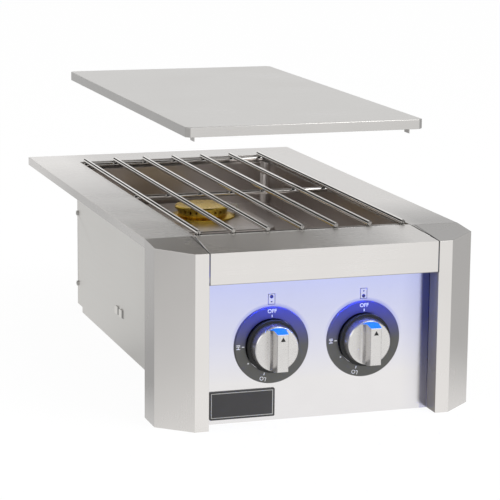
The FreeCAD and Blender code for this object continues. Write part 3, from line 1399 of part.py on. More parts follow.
def lid_tabs():
    """Four small plates that hang below the rim and find the opening's corners."""
    items = []
    thick = S.sheet
    low = TOP + S.lid_hover - S.tab_drop
    high = TOP + S.lid_hover + S.lid_rim - S.lid_sheet
    front = FOLD - S.lid_front
    rear = front + S.lid_length
    for side in (-1, 1):
        for label, y in (("front", front + S.tab_inset), ("rear", rear - S.tab_inset - S.tab_length)):
            x = side * (OPEN_HALF - S.tab_gap - thick / 2) - thick / 2
            items.append(box("lid_tab_%s_%d" % (label, side + 1), x, y, low, thick, S.tab_length, high - low))
    return keep(group("lid_tabs_group", items), "lid_tabs")


def post_bracket(side, name):
    """The plate that closes a post's back and ties it to the box's side."""
    body = new_body(name)
    plan = add_sketch(body, "XY_Plane")
    outer = HALF - S.sheet - S.seat_gap
    inner = WALL_OUT + S.seat_gap
    front = FOLD - S.bracket_depth
    rear = FOLD - S.seat_gap
    outline = [
        (inner, rear), (inner, front), (outer, front), (outer, rear), (outer - S.sheet, rear),
        (outer - S.sheet, front + S.sheet), (inner + S.sheet, front + S.sheet), (inner + S.sheet, rear),
    ]
    draw_outline(plan, [(side * x, y) for x, y in outline])
    pad(body, plan, TOP - S.outer_lip)
    return keep(body, name)


def build_all():
    """Makes every sub-part."""
    top_frame()
    corner_post(-1, "left_corner_post")
    corner_post(1, "right_corner_post")
    post_bracket(-1, "left_post_bracket")
    post_bracket(1, "right_post_bracket")
    front_header()
    control_panel()
    badge_plate()
    lamp()
    side_panel(-1, "left_side_panel")
    side_panel(1, "right_side_panel")
    rear_panel()
    bottom_panel()
    burner_liner()
    heat_shield()
    for name, side, middle in (("rear", -1, REAR_BURNER), ("front", 1, FRONT_BURNER)):
        burner_plate(name + "_burner_plate", middle)
        burner_base(name + "_burner_base", middle)
        burner_cap(name + "_burner_cap", middle)
        electrode(name + "_electrode", middle)
        mixer_tube(name + "_mixer_tube", side, middle)
        air_shutter(name + "_air_shutter", side)
        gas_valve(name + "_gas_valve", side)
        orifice_jet(name + "_orifice_jet", side)
        valve_stem(name + "_valve_stem", side)
        stem_collar(name + "_stem_collar", side)
        return_spring(name + "_return_spring", side)
        knob_bezel(name + "_knob_bezel", side)
        knob_hub(name + "_knob_hub", side)
        knob(name + "_knob", side)
    igniter_wire("rear_igniter_wire", -1, REAR_BURNER, S.rear_lane, S.rear_dip)
    igniter_wire("front_igniter_wire", 1, FRONT_BURNER, S.front_lane, S.front_dip)
    gas_manifold()
    feed_pipe()
    inlet_nipple()
    valve_spacers("valve_spacers")
    valve_screws()
    side_screws()
    long_rods()
    cross_rods()
    lid_panel()
    lid_tabs()
    doc.recompute()


def check_all():
    """Stops if an object failed or a sub-part's shape isn't whole."""
    for item in doc.Objects:
        if "Invalid" in item.State or "Error" in item.State:
            raise RuntimeError("failed: %s %s" % (item.Label, item.State))
    for item in nodes:
        if item.Shape.isNull() or not item.Shape.isValid() or not item.Shape.Solids:
            raise RuntimeError("bad shape: " + item.Label)


def write_all():
    """Writes each sub-part to its own file."""
    os.makedirs("parts", exist_ok=True)
    for item in nodes:
        item.Shape.exportStep("parts/%s.step" % item.Label)
    print("%d sub-parts written" % len(nodes))


build_all()
check_all()
write_all()
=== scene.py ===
import json
import math

import bmesh
import bpy
from mathutils import Matrix, Vector


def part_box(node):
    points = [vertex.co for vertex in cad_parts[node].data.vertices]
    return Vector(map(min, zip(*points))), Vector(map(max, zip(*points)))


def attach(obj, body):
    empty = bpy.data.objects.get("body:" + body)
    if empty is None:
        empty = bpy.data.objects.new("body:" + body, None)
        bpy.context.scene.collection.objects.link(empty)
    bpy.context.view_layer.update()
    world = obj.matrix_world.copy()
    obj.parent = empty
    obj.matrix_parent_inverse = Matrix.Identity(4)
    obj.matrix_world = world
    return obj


# Built-in double side burner: looks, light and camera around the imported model, in metres.

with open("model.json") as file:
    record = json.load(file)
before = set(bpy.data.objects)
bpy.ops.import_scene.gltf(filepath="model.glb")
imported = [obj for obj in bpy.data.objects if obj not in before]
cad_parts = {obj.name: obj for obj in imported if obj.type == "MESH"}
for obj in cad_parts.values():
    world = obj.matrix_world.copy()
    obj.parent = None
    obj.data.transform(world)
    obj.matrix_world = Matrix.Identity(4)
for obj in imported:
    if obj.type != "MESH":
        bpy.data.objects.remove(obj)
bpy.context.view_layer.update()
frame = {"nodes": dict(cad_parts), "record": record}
nodes = frame["nodes"]


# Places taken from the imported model

def middle(node):
    """The centre of a node's box at rest."""
    low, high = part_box(node)
    return (Vector(low) + Vector(high)) / 2


ENDS = ("rear", "front")
DIALS = {name: middle(name + "_knob_bezel") for name in ENDS}
BURNERS = {name: middle(name + "_burner_cap") for name in ENDS}
DIAL_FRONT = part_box("rear_knob_bezel")[0][1]
GRIP_REACH = 0.020
KNOB_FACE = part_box("rear_knob")[0][1] + GRIP_REACH
PANEL_LOW, PANEL_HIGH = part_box("control_panel")
PANEL_FRONT = PANEL_LOW[1]
PANEL_RIGHT = PANEL_HIGH[0]
HEADER_LOW, HEADER_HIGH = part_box("front_header")
HALF_SEAM = 0.0002
SEAM_X = HEADER_HIGH[0] + HALF_SEAM
WALL_BEYOND_BOTTOM = 0.0013
WALL_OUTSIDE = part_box("bottom_panel")[1][0] + WALL_BEYOND_BOTTOM
LOUVRE_RISE = 0.003


# Shader helpers

def add(tree, kind, settings=None, **inputs):
    """Adds a shader node; an input is a number, a colour or another node's output."""
    made = tree.nodes.new("ShaderNode" + kind)
    for key, value in (settings or {}).items():
        setattr(made, key, value)
    for key, value in inputs.items():
        socket = made.inputs[int(key[1:])] if key[1:].isdigit() else made.inputs[key.replace("_", " ")]
        if isinstance(value, bpy.types.NodeSocket):
            tree.links.new(value, socket)
        else:
            socket.default_value = value
    return made


def rgb(red, green, blue):
    """A linear colour from values between 0 and 255, by the sRGB curve."""
    def linear(value):
        value /= 255.0
        return value / 12.92 if value <= 0.04045 else ((value + 0.055) / 1.055) ** 2.4
    return (linear(red), linear(green), linear(blue), 1.0)


WHITE = (1.0, 1.0, 1.0, 1.0)


def place_of(tree, scale=(1, 1, 1), offset=(0, 0, 0)):
    """Object coordinates, moved by minus the offset and then scaled."""
    coordinates = add(tree, "TexCoord")
    moved = add(tree, "VectorMath", {"operation": "SUBTRACT"}, i0=coordinates.outputs["Object"], i1=offset)
    scaled = add(tree, "VectorMath", {"operation": "MULTIPLY"}, i0=moved.outputs[0], i1=scale)
    return scaled.outputs[0]


def parts_of(tree, vector):
    """The X, Y and Z of a vector."""
    return add(tree, "SeparateXYZ", Vector=vector).outputs


def facing(tree, letter):
    """How far the surface faces along one axis, between -1 and 1."""
    return parts_of(tree, add(tree, "NewGeometry").outputs["Normal"])[letter]


def distance_from(tree, centre, scale=(1, 1, 1)):
    """The distance of a point from a centre, in metres; the scale weighs the axes."""
    return add(tree, "VectorMath", {"operation": "LENGTH"}, i0=place_of(tree, scale, centre)).outputs["Value"]


ABOUT_Y = (1, 0, 1)


def noise(tree, where, scale, detail=3.0, roughness=0.55):
    """Noise between 0 and 1 at a place."""
    return add(tree, "TexNoise", Vector=where, Scale=scale, Detail=detail, Roughness=roughness).outputs["Fac"]


def span(tree, value, low, high, start=0.0, end=1.0):
    """A value that goes from low to high between start and end, held beyond them."""
    return add(tree, "MapRange", i0=value, i1=start, i2=end, i3=low, i4=high).outputs[0]


NOISE_USUAL = (0.3, 0.7)


def uneven(tree, value, low, high):
    """The usual range of a noise, stretched to another span."""
    return span(tree, value, low, high, *NOISE_USUAL)


def reckon(tree, operation, first, second=0.0):
    """A sum, product or other reckoning of two values."""
    return add(tree, "Math", {"operation": operation}, i0=first, i1=second).outputs[0]


def plus(tree, first, second):
    """The sum of two values."""
    return reckon(tree, "ADD", first, second)


def times(tree, first, second):
    """The product of two values."""
    return reckon(tree, "MULTIPLY", first, second)


def size_of(tree, value):
    """A value without its sign."""
    return reckon(tree, "ABSOLUTE", value)


def shade(tree, colour, factor):
    """A colour made lighter or darker by a factor."""
    grey = add(tree, "CombineColor", Red=factor, Green=factor, Blue=factor).outputs[0]
    mixed = add(tree, "Mix", {"data_type": "RGBA", "blend_type": "MULTIPLY"}, i0=1.0, i6=colour, i7=grey)
    return mixed.outputs[2]


def blend_values(tree, factor, first, second):
    """A value between two others."""
    return add(tree, "Mix", {"data_type": "FLOAT"}, i0=factor, i2=first, i3=second).outputs[0]


def blend_colours(tree, factor, first, second):
    """A colour between two others."""
    return add(tree, "Mix", {"data_type": "RGBA"}, i0=factor, i6=first, i7=second).outputs[2]


def new_material(name):
    """An empty material with its principled shader."""
    material = bpy.data.materials.new(name)
    material.use_nodes = True
    tree = material.node_tree
    return material, tree, tree.nodes["Principled BSDF"]


def set_values(shader, **values):
    """Sets the shader's own uniform values."""
    for key, value in values.items():
        shader.inputs[key.replace("_", " ")].default_value = value


def link_values(tree, shader, **outputs):
    """Links reckoned values to the shader's inputs."""
    for key, output in outputs.items():
        tree.links.new(output, shader.inputs[key.replace("_", " ")])


def bump(tree, shader, height, strength, distance):
    """Raises the surface by a height."""
    made = add(tree, "Bump", Height=height, Strength=strength, Distance=distance)
    link_values(tree, shader, Normal=made.outputs[0])


# Painted light, shade and reflections by place and facing, and the heat tint

# A ramp is a pair of levels and then the pair of places or facings that they belong to.
FACING_SIDE = (0.85, 0.97)
FACING_UP = (0.6, 0.9)
# How light the painted shade leaves faces that look to a side.
SIDE_LEVEL = 0.72

HEAT_CENTRE_Z = 0.15
HEAT_WEIGHTS = (1, 1, 0.3)
HEAT_WOBBLE = 0.012
STRAW_RAMP = (0.25, 0.0, 0.045, 0.10)
DARK_HEAT_RAMP = (0.25, 0.0, 0.035, 0.055)
STRAW, DARK_HEAT = rgb(168, 146, 108), rgb(108, 98, 104)


def heat_tint(tree, colour):
    """A darker ring and a straw one of heat round each burner."""
    near = None
    for centre in BURNERS.values():
        far = distance_from(tree, (centre.x, centre.y, HEAT_CENTRE_Z), HEAT_WEIGHTS)
        near = far if near is None else reckon(tree, "MINIMUM", near, far)
    wobble = noise(tree, place_of(tree), scale=24.0, detail=4.0)
    near = plus(tree, near, uneven(tree, wobble, -HEAT_WOBBLE, HEAT_WOBBLE))
    straw = blend_colours(tree, span(tree, near, *STRAW_RAMP), colour, STRAW)
    return blend_colours(tree, span(tree, near, *DARK_HEAT_RAMP), straw, DARK_HEAT)


WASH_RAMP = (0.0, 1.0, 0.045, 0.160)
HALO_RAMP = (1.0, 0.0, 0.0425, 0.0490)
HALO_LEVEL, HALO_RISE = 0.75, 0.040
FADE_LEVEL, FADE_WIDTH = 0.14, 0.036
MIRROR_LEVEL, MIRROR_WIDTH, MIRROR_EDGE = 0.62, 0.012, 0.002
END_RAMP = (0.45, 1.0, 0.020, 0.110)
WASH_BLUE, HALO_BLUE, END_REFLECTION_BLUE = rgb(200, 205, 243), rgb(84, 92, 226), rgb(58, 74, 178)


def panel_painted_light(tree, colour):
    """Painted light on the panel: the lamp's blue wash, stronger upwards and above each dial, and a painted
    blue reflection at the right end.
    """
    where = parts_of(tree, place_of(tree))
    across, height = where["X"], where["Z"]
    washed = blend_colours(tree, span(tree, height, *WASH_RAMP), colour, WASH_BLUE)
    for centre in DIALS.values():
        ring = span(tree, distance_from(tree, centre, ABOUT_Y), *HALO_RAMP)
        above = span(tree, height, 0.0, HALO_LEVEL, centre.z, centre.z + HALO_RISE)
        washed = blend_colours(tree, times(tree, ring, above), washed, HALO_BLUE)
    # The right end: a painted blue reflection, fading in from its left.
    mirror_start = PANEL_RIGHT - MIRROR_WIDTH
    fade = span(tree, across, 0.0, FADE_LEVEL, PANEL_RIGHT - FADE_WIDTH, mirror_start)
    mirror = span(tree, across, 0.0, MIRROR_LEVEL, mirror_start, mirror_start + MIRROR_EDGE)
    strip = times(tree, plus(tree, fade, mirror), span(tree, height, *END_RAMP))
    return blend_colours(tree, strip, washed, END_REFLECTION_BLUE)


LID_EDGE_RAMP = (0.84, 0.56, -0.9, -0.5)
LID_FLAT_RAMP = (0.0, 1.0, 0.3, 0.8)
LID_UNDER_RAMP = (0.55, 1.0, -0.8, -0.4)


def lid_painted_shade(tree, colour):
    """Painted shade on the lid's upright edges, least on the front one, and on its underside."""
    upward = facing(tree, "Z")
    edge = span(tree, facing(tree, "Y"), *LID_EDGE_RAMP)
    flat = span(tree, size_of(tree, upward), *LID_FLAT_RAMP)
    upright = blend_values(tree, flat, edge, 1.0)
    return shade(tree, colour, times(tree, upright, span(tree, upward, *LID_UNDER_RAMP)))


LEFT_STRIP = (1.0, 0.0, -0.15, -0.10)
RIGHT_STRIP = (0.0, 1.0, 0.10, 0.15)
LEFT_REAR_RAMP = (0.885, 1.26, 0.07, 0.29)
LEFT_FRONT_RAMP = (1.13, 1.0, -0.17, -0.08)
RIGHT_RAMP = (0.52, 1.05, -0.24, -0.10)


def frame_painted_light(tree, colour):
    """Painted shade on what faces to a side; painted light at the rear left and painted shade at the front
    right.
    """
    where = parts_of(tree, place_of(tree))
    across, along = where["X"], where["Y"]
    left = times(tree, span(tree, along, *LEFT_REAR_RAMP), span(tree, along, *LEFT_FRONT_RAMP))
    level = blend_values(tree, span(tree, across, *LEFT_STRIP), 1.0, left)
    level = blend_values(tree, span(tree, across, *RIGHT_STRIP), level, span(tree, along, *RIGHT_RAMP))
    sideways = span(tree, size_of(tree, facing(tree, "X")), 1.0, SIDE_LEVEL, *FACING_SIDE)
    return shade(tree, colour, times(tree, level, sideways))


SEAM_RAMP = (1.0, 0.0, 0.0006, 0.0011)
SEAM_LEVEL = 0.30
SEAM_START = 0.0005


def seam_painted_shade(tree, where):
    """How much light the painted shade leaves beside the seams between the posts and the header."""
    aside = size_of(tree, reckon(tree, "SUBTRACT", size_of(tree, where["X"]), SEAM_X))
    beside = span(tree, where["Z"], 0.0, 1.0, HEADER_LOW[2] - SEAM_START, HEADER_LOW[2])
    return span(tree, times(tree, span(tree, aside, *SEAM_RAMP), beside), 1.0, SEAM_LEVEL)


HEADER_EDGE = (0.0004, 0.0009)
HEADER_EDGE_LEVEL = 0.45
SLOPE_RAMPS = ((1.28, 0.74, -0.05, 0.06), (1.0, 1.28, 0.075, 0.11))


def header_painted_shade(tree, colour):
    """Painted shade: dark lines at the header's ends and lower edge, and a darker sloped top, darkest right
    of its middle.
    """
    where = parts_of(tree, place_of(tree))
    start, end = (HEADER_LOW[2] + height for height in HEADER_EDGE)
    edge = span(tree, where["Z"], HEADER_EDGE_LEVEL, 1.0, start, end)
    level = times(tree, seam_painted_shade(tree, where), edge)
    slope = times(tree, *(span(tree, where["X"], *ramp) for ramp in SLOPE_RAMPS))
    top = blend_values(tree, span(tree, facing(tree, "Z"), 0.0, 1.0, *FACING_UP), 1.0, slope)
    return shade(tree, colour, times(tree, level, top))


INNER_BROWN = rgb(128, 122, 112)
INNER_METALLIC = 0.1
INNER_EDGE = (0.001, 0.002)
CHAMFER_RAMP = (1.0, 0.88, 0.3, 0.6)
RIGHT_HALF = (0.0, 1.0, 0.0, 0.05)
RIGHT_TOP_LEVEL = 0.50


def post_painted_shade(tree, colour):
    """Painted shade on a post's chamfer, side and seam and on the right one's top, and a brown inner return.
    """
    where = parts_of(tree, place_of(tree))
    sideward = size_of(tree, facing(tree, "X"))
    sideways = span(tree, sideward, 0.0, 1.0, *FACING_SIDE)
    start, end = (SEAM_X + aside for aside in INNER_EDGE)
    inner = times(tree, sideways, span(tree, size_of(tree, where["X"]), 1.0, 0.0, start, end))
    browned = blend_colours(tree, inner, colour, INNER_BROWN)
    link_values(tree, tree.nodes["Principled BSDF"], Metallic=span(tree, inner, 1.0, INNER_METALLIC))
    outer = reckon(tree, "SUBTRACT", sideways, inner)
    level = times(tree, seam_painted_shade(tree, where), span(tree, outer, 1.0, SIDE_LEVEL))
    upward = span(tree, facing(tree, "Z"), 0.0, 1.0, *FACING_UP)
    top = times(tree, upward, span(tree, where["X"], *RIGHT_HALF))
    turned = times(tree, span(tree, sideward, *CHAMFER_RAMP), span(tree, top, 1.0, RIGHT_TOP_LEVEL))
    return shade(tree, browned, times(tree, level, turned))


MOUTH_START = (0.0, 1.0, 0.04, 0.10)
MOUTH_END = (1.0, 0.0, 0.40, 0.50)
MOUTH_SHADE = 0.62
CREST_HIGHLIGHT_RAMP = (1.0, 1.25, 0.40, 0.50)


def louvre_painted_light(tree, colour):
    """Painted shade in the mouth and a painted highlight on the crest of each louvre on a side panel, by how
    far it stands out.
    """
    across = size_of(tree, parts_of(tree, place_of(tree))["X"])
    rise = span(tree, across, 0.0, 1.0, WALL_OUTSIDE, WALL_OUTSIDE + LOUVRE_RISE)
    mouth = times(tree, span(tree, rise, *MOUTH_START), span(tree, rise, *MOUTH_END))
    crest = span(tree, rise, *CREST_HIGHLIGHT_RAMP)
    return shade(tree, colour, reckon(tree, "SUBTRACT", crest, times(tree, mouth, MOUTH_SHADE)))


ROD_SHIFT = (0.0, 0.16, -0.06, 0.04)
BLACK_START = (0.0, 1.0, 0.50, 0.58)
BLACK_END = (1.0, 0.0, 1.06, 1.14)
UNDER_RAMP = (1.0, 0.0, -0.60, -0.50)
BLACK_LEVEL = 0.02
LOWER_RAMP = (0.90, 1.0, 0.30, 0.70)
ROD_END_RAMP = (0.45, 1.0, -0.6, -0.3)


def rod_painted_reflections(tree, colour):
    """Painted reflections: the dark lines along a polished rod, by the angle round it from its left side, and
    painted shade on its ends.

    The black lines are no metal, since a metal shines at a low angle however dark it is."""
    geometry = add(tree, "NewGeometry")
    normal = parts_of(tree, geometry.outputs["Normal"])
    around = reckon(tree, "ARCTAN2", normal["Z"], times(tree, normal["X"], -1.0))
    across = parts_of(tree, geometry.outputs["Position"])["X"]
    around = plus(tree, around, span(tree, across, *ROD_SHIFT))
    black = times(tree, span(tree, around, *BLACK_START), span(tree, around, *BLACK_END))
    lines = reckon(tree, "MAXIMUM", black, span(tree, around, *UNDER_RAMP))
    shader = tree.nodes["Principled BSDF"]
    link_values(tree, shader, Metallic=span(tree, lines, 1.0, 0.0))
    set_values(shader, Specular_IOR_Level=0.0)
    level = times(tree, span(tree, lines, 1.0, BLACK_LEVEL), span(tree, around, *LOWER_RAMP))
    return shade(tree, colour, times(tree, level, span(tree, normal["Y"], *ROD_END_RAMP)))


# Materials

GRAIN = {
    "x": (6.0, 900.0, 900.0),
    "y": (900.0, 6.0, 900.0),
    "z": (900.0, 900.0, 6.0),
}
COARSE_GRAIN = 0.22
STREAK_GLOSS = (0.25, 0.75)
STREAK_RELIEF = 1.3
FINE_RELIEF = 0.00006


def brushed(name, colour, rough, grain="x", streaks=0.06, tone_and_painted_light=None):
    """Brushed sheet: fine streaks along one axis, faint clouds in colour and gloss."""
    material, tree, shader = new_material(name)
    fine = noise(tree, place_of(tree, GRAIN[grain]), scale=1.0, detail=4.0, roughness=0.65)
    coarse_scale = tuple(scale * COARSE_GRAIN for scale in GRAIN[grain])
    coarse = noise(tree, place_of(tree, coarse_scale), scale=1.0, detail=2.0)
    clouds = noise(tree, place_of(tree), scale=9.0)
    streaked = plus(tree, span(tree, fine, 1 - streaks, 1 + streaks * 0.5),
                    span(tree, coarse, -streaks * 0.5, streaks * 0.5))
    # The given tone comes in here: painted light and shade on most sheets, the heat tint on the liner.
    base = tone_and_painted_light(tree, colour) if tone_and_painted_light else colour
    gloss = plus(tree, span(tree, fine, rough - streaks, rough + streaks * STREAK_RELIEF, *STREAK_GLOSS),
                 uneven(tree, clouds, -0.03, 0.04))
    level = times(tree, streaked, uneven(tree, clouds, 0.97, 1.02))
    link_values(tree, shader, Base_Color=shade(tree, base, level), Roughness=gloss)
    set_values(shader, Metallic=1.0)
    bump(tree, shader, fine, strength=streaks * STREAK_RELIEF, distance=FINE_RELIEF)
    return material


def satin_metal(name, colour, rough, strength=0.15, tone_and_painted_light=None):
    """Fine blasted metal, a little uneven."""
    material, tree, shader = new_material(name)
    # The given tone comes in here: painted reflections on the rods.
    base = tone_and_painted_light(tree, colour) if tone_and_painted_light else colour
    fine = noise(tree, place_of(tree), scale=1400.0)
    clouds = noise(tree, place_of(tree), scale=40.0)
    level = times(tree, uneven(tree, fine, 0.95, 1.03), uneven(tree, clouds, 0.96, 1.03))
    link_values(tree, shader, Base_Color=shade(tree, base, level),
                Roughness=uneven(tree, fine, rough * 0.8, rough * 1.25))
    set_values(shader, Metallic=1.0)
    bump(tree, shader, fine, strength, distance=FINE_RELIEF)
    return material


GLOW_DEPTH = (-0.0030, 0.0005)
GLOW_UPWARD = (0.0, 1.0, 0.45, 0.80)
GLOW_HEIGHTS = (0.004, 0.016)
GLOW_BLUE, GLOW_BASE = rgb(0, 132, 255), rgb(0, 44, 130)


def knob_satin_painted_glow():
    """The knob's satin metal; what faces up in front of the disc has a painted blue glow of the lamp's light.
    """
    material = satin_metal("knob_satin_painted_glow", rgb(216, 214, 212), rough=0.28, strength=0.05)
    tree = material.node_tree
    shader = tree.nodes["Principled BSDF"]
    where = parts_of(tree, add(tree, "NewGeometry").outputs["Position"])
    near, far = (KNOB_FACE + depth for depth in GLOW_DEPTH)
    low, high = (DIALS["rear"].z + height for height in GLOW_HEIGHTS)
    forward = span(tree, where["Y"], 1.0, 0.0, near, far)
    upward = span(tree, facing(tree, "Z"), *GLOW_UPWARD)
    lit = times(tree, times(tree, forward, upward), span(tree, where["Z"], 0.0, 1.0, low, high))
    plain = shader.inputs["Base Color"].links[0].from_socket
    link_values(tree, shader, Emission_Color=shade(tree, GLOW_BLUE, lit),
                Base_Color=blend_colours(tree, lit, plain, GLOW_BASE))
    set_values(shader, Emission_Strength=0.9)
    return material


PATINA = rgb(150, 118, 66)
PATINA_CLOUDS = (0.4, 0.68)


def brass(name, colour, rough, patina):
    """Brass with a cloudy patina."""
    material, tree, shader = new_material(name)
    cast = noise(tree, place_of(tree), scale=700.0, detail=4.0)
    clouds = noise(tree, place_of(tree), scale=55.0, detail=5.0, roughness=0.6)
    aged = blend_colours(tree, span(tree, clouds, 0.0, patina, *PATINA_CLOUDS), colour, PATINA)
    link_values(tree, shader, Base_Color=shade(tree, aged, uneven(tree, cast, 0.92, 1.05)),
                Roughness=uneven(tree, clouds, rough - 0.05, rough + 0.15))
    set_values(shader, Metallic=1.0)
    bump(tree, shader, cast, strength=0.2, distance=0.00012)
    return material


VALVE_BRASS = rgb(205, 176, 112)
THREAD_PITCH = 0.00181
THREAD_BARREL = (1.0, 0.0, 0.0108, 0.0112)
THREAD_DEPTH = 0.0005


def threaded_brass():
    """The inlet's brass, with its thread as a fine relief on the round barrel."""
    material = brass("inlet_brass_threaded", VALVE_BRASS, rough=0.28, patina=0.2)
    tree = material.node_tree
    centre = middle("gas_inlet_nipple")
    parts = parts_of(tree, place_of(tree, offset=centre))
    turn = reckon(tree, "ARCTAN2", parts["Z"], parts["X"])
    phase = plus(tree, times(tree, parts["Y"], 2 * math.pi / THREAD_PITCH), turn)
    barrel = span(tree, distance_from(tree, centre, ABOUT_Y), *THREAD_BARREL)
    relief = times(tree, reckon(tree, "SINE", phase), barrel)
    bump(tree, tree.nodes["Principled BSDF"], relief, strength=1.0, distance=THREAD_DEPTH)
    return material


TURNING_LINES = 3200.0
DIAL_HEIGHTS = (-0.002, 0.040)
DIAL_GREY, DIAL_PAINTED_LIGHT, DIAL_GLOW = rgb(98, 98, 95), rgb(74, 78, 168), rgb(50, 66, 255)
DIAL_GLOW_LEVEL = 0.05


def turned_dial(name, centre):
    """The dark dial ring: fine turning lines about its middle, with painted blue light and a faint painted
    glow on its upper half.
    """
    material, tree, shader = new_material(name)
    far = distance_from(tree, centre, ABOUT_Y)
    outward = add(tree, "CombineXYZ", X=times(tree, far, TURNING_LINES)).outputs[0]
    lines = noise(tree, outward, scale=1.0, detail=2.0)
    clouds = noise(tree, place_of(tree), scale=60.0)
    level = times(tree, uneven(tree, lines, 0.82, 1.16), uneven(tree, clouds, 0.94, 1.05))
    low, high = (centre.z + height for height in DIAL_HEIGHTS)
    upper = span(tree, parts_of(tree, place_of(tree))["Z"], 0.0, 1.0, low, high)
    base = blend_colours(tree, upper, DIAL_GREY, DIAL_PAINTED_LIGHT)
    link_values(tree, shader, Base_Color=shade(tree, base, level), Roughness=uneven(tree, lines, 0.30, 0.44),
                Emission_Color=shade(tree, DIAL_GLOW, times(tree, upper, DIAL_GLOW_LEVEL)))
    set_values(shader, Metallic=0.55, Emission_Strength=1.0)
    bump(tree, shader, lines, strength=0.18, distance=FINE_RELIEF)
    return material


def plain_plastic(name, colour, rough, grain=900.0, strength=0.2):
    """Moulded plastic, rubber, ceramic or ink with a fine skin."""
    material, tree, shader = new_material(name)
    skin = noise(tree, place_of(tree), scale=grain)
    clouds = noise(tree, place_of(tree), scale=70.0, detail=2.0)
    level = times(tree, uneven(tree, skin, 0.93, 1.05), uneven(tree, clouds, 0.95, 1.04))
    link_values(tree, shader, Base_Color=shade(tree, colour, level),
                Roughness=uneven(tree, skin, rough - 0.06, rough + 0.08))
    bump(tree, shader, skin, strength, distance=0.00008)
    return material


SPOT_PITCH = 0.0125
LENS_GLOW, LENS_BASE = rgb(90, 120, 255), rgb(150, 170, 250)


def lit_lens():
    """The lamp's lens, glowing blue in brighter and weaker spots along its length."""
    material, tree, shader = new_material("lens_lit")
    along = parts_of(tree, place_of(tree))["X"]
    wave = reckon(tree, "SINE", times(tree, along, 2 * math.pi / SPOT_PITCH))
    haze = uneven(tree, noise(tree, place_of(tree), scale=220.0), 0.92, 1.04)
    glow = times(tree, span(tree, wave, 0.75, 1.0, -1.0, 1.0), haze)
    link_values(tree, shader, Emission_Color=shade(tree, LENS_GLOW, glow),
                Base_Color=shade(tree, LENS_BASE, haze))
    set_values(shader, Roughness=0.25, Emission_Strength=1.2)
    return material


def ink(name, colour):
    """Printed ink, slightly uneven."""
    return plain_plastic(name, colour, rough=0.45, grain=1600.0, strength=0.05)


FRAME_STEEL = rgb(226, 223, 220)
PANEL_STEEL = rgb(229, 227, 227)
BOX_STEEL = rgb(214, 212, 208)
LINER_STEEL = rgb(198, 191, 187)
LID_STEEL = rgb(222, 220, 217)
MATERIALS = {
    "frame_steel": brushed("frame_brushed", FRAME_STEEL, rough=0.25, streaks=0.03, tone_and_painted_light=frame_painted_light),
    "panel_steel": brushed("panel_polished", PANEL_STEEL, rough=0.16, streaks=0.02, tone_and_painted_light=panel_painted_light),
    "badge_dark": plain_plastic("badge_satin", rgb(62, 61, 62), rough=0.38),
    "lens_plastic": lit_lens(),
    "strip_board": plain_plastic("strip_white", rgb(225, 230, 245), rough=0.5),
    "box_steel": brushed("box_brushed", BOX_STEEL, rough=0.34, grain="y"),
    "liner_steel": brushed("liner_brushed", LINER_STEEL, rough=0.30, streaks=0.02, tone_and_painted_light=heat_tint),
    "burner_brass": brass("burner_brass_cast", rgb(236, 200, 84), rough=0.24, patina=0.15),
    "valve_brass": brass("valve_brass_turned", VALVE_BRASS, rough=0.28, patina=0.2),
    "stem_steel": satin_metal("stem_turned", rgb(190, 189, 187), rough=0.30),
    "tube_steel": satin_metal("tube_drawn", rgb(170, 167, 162), rough=0.36),
    "ceramic": plain_plastic("ceramic_glazed", rgb(232, 228, 216), rough=0.22, grain=500.0, strength=0.08),
    "wire_rubber": plain_plastic("wire_silicone", rgb(52, 52, 52), rough=0.55),
    "knob_metal": knob_satin_painted_glow(),
    "hub_plastic": plain_plastic("hub_black", rgb(16, 16, 16), rough=0.55),
    "rod_steel": satin_metal("rod_polished", rgb(252, 249, 245), rough=0.07, strength=0.01, tone_and_painted_light=rod_painted_reflections),
    "lid_steel": brushed("lid_brushed", LID_STEEL, rough=0.30, streaks=0.03, tone_and_painted_light=lid_painted_shade),
}
POST_STEEL = brushed("post_brushed", FRAME_STEEL, rough=0.26, grain="z", streaks=0.006, tone_and_painted_light=post_painted_shade)
HEADER_STEEL = brushed("header_brushed", FRAME_STEEL, rough=0.25, streaks=0.02, tone_and_painted_light=header_painted_shade)
SIDE_STEEL = brushed("side_brushed", BOX_STEEL, rough=0.34, grain="y", streaks=0.03, tone_and_painted_light=louvre_painted_light)
NODE_MATERIALS = {
    "left_corner_post": POST_STEEL,
    "right_corner_post": POST_STEEL,
    "front_header": HEADER_STEEL,
    "grate_cross_rods": satin_metal("cross_rod_polished", rgb(214, 211, 208), rough=0.12, strength=0.01),
    "left_side_panel": SIDE_STEEL,
    "right_side_panel": SIDE_STEEL,
    "gas_inlet_nipple": threaded_brass(),
}
for dial, dial_centre in DIALS.items():
    NODE_MATERIALS[dial + "_knob_bezel"] = turned_dial(dial + "_dial_turned", dial_centre)


def dress_nodes():
    """Gives each node its own material, or else the one of its slot in the record."""
    for row in frame["record"]["subparts"]:
        material = NODE_MATERIALS.get(row["node"]) or MATERIALS[row["material_slot"]]
        for slot in nodes[row["node"]].material_slots:
            slot.material = material


SHEETS = [
    "top_frame", "left_corner_post", "right_corner_post", "front_header", "lid_panel", "lid_tabs",
    "left_side_panel", "right_side_panel", "rear_panel", "burner_liner", "badge_plate",
]
WELD_DISTANCE = 0.00001
EDGE_WIDTH = 0.0004
EDGE_ANGLE = math.radians(30)


def soften_sheets():
    """Small rounded edges on the folded sheets, so that their folds catch the light."""
    for name in SHEETS:
        modifiers = nodes[name].modifiers
        modifiers.new("weld", "WELD").merge_threshold = WELD_DISTANCE
        edge = modifiers.new("edges", "BEVEL")
        edge.width = EDGE_WIDTH
        edge.segments = 2
        edge.limit_method = "ANGLE"
        edge.angle_limit = EDGE_ANGLE
        edge.harden_normals = True


# Pieces made here

PRINT = 0.00012


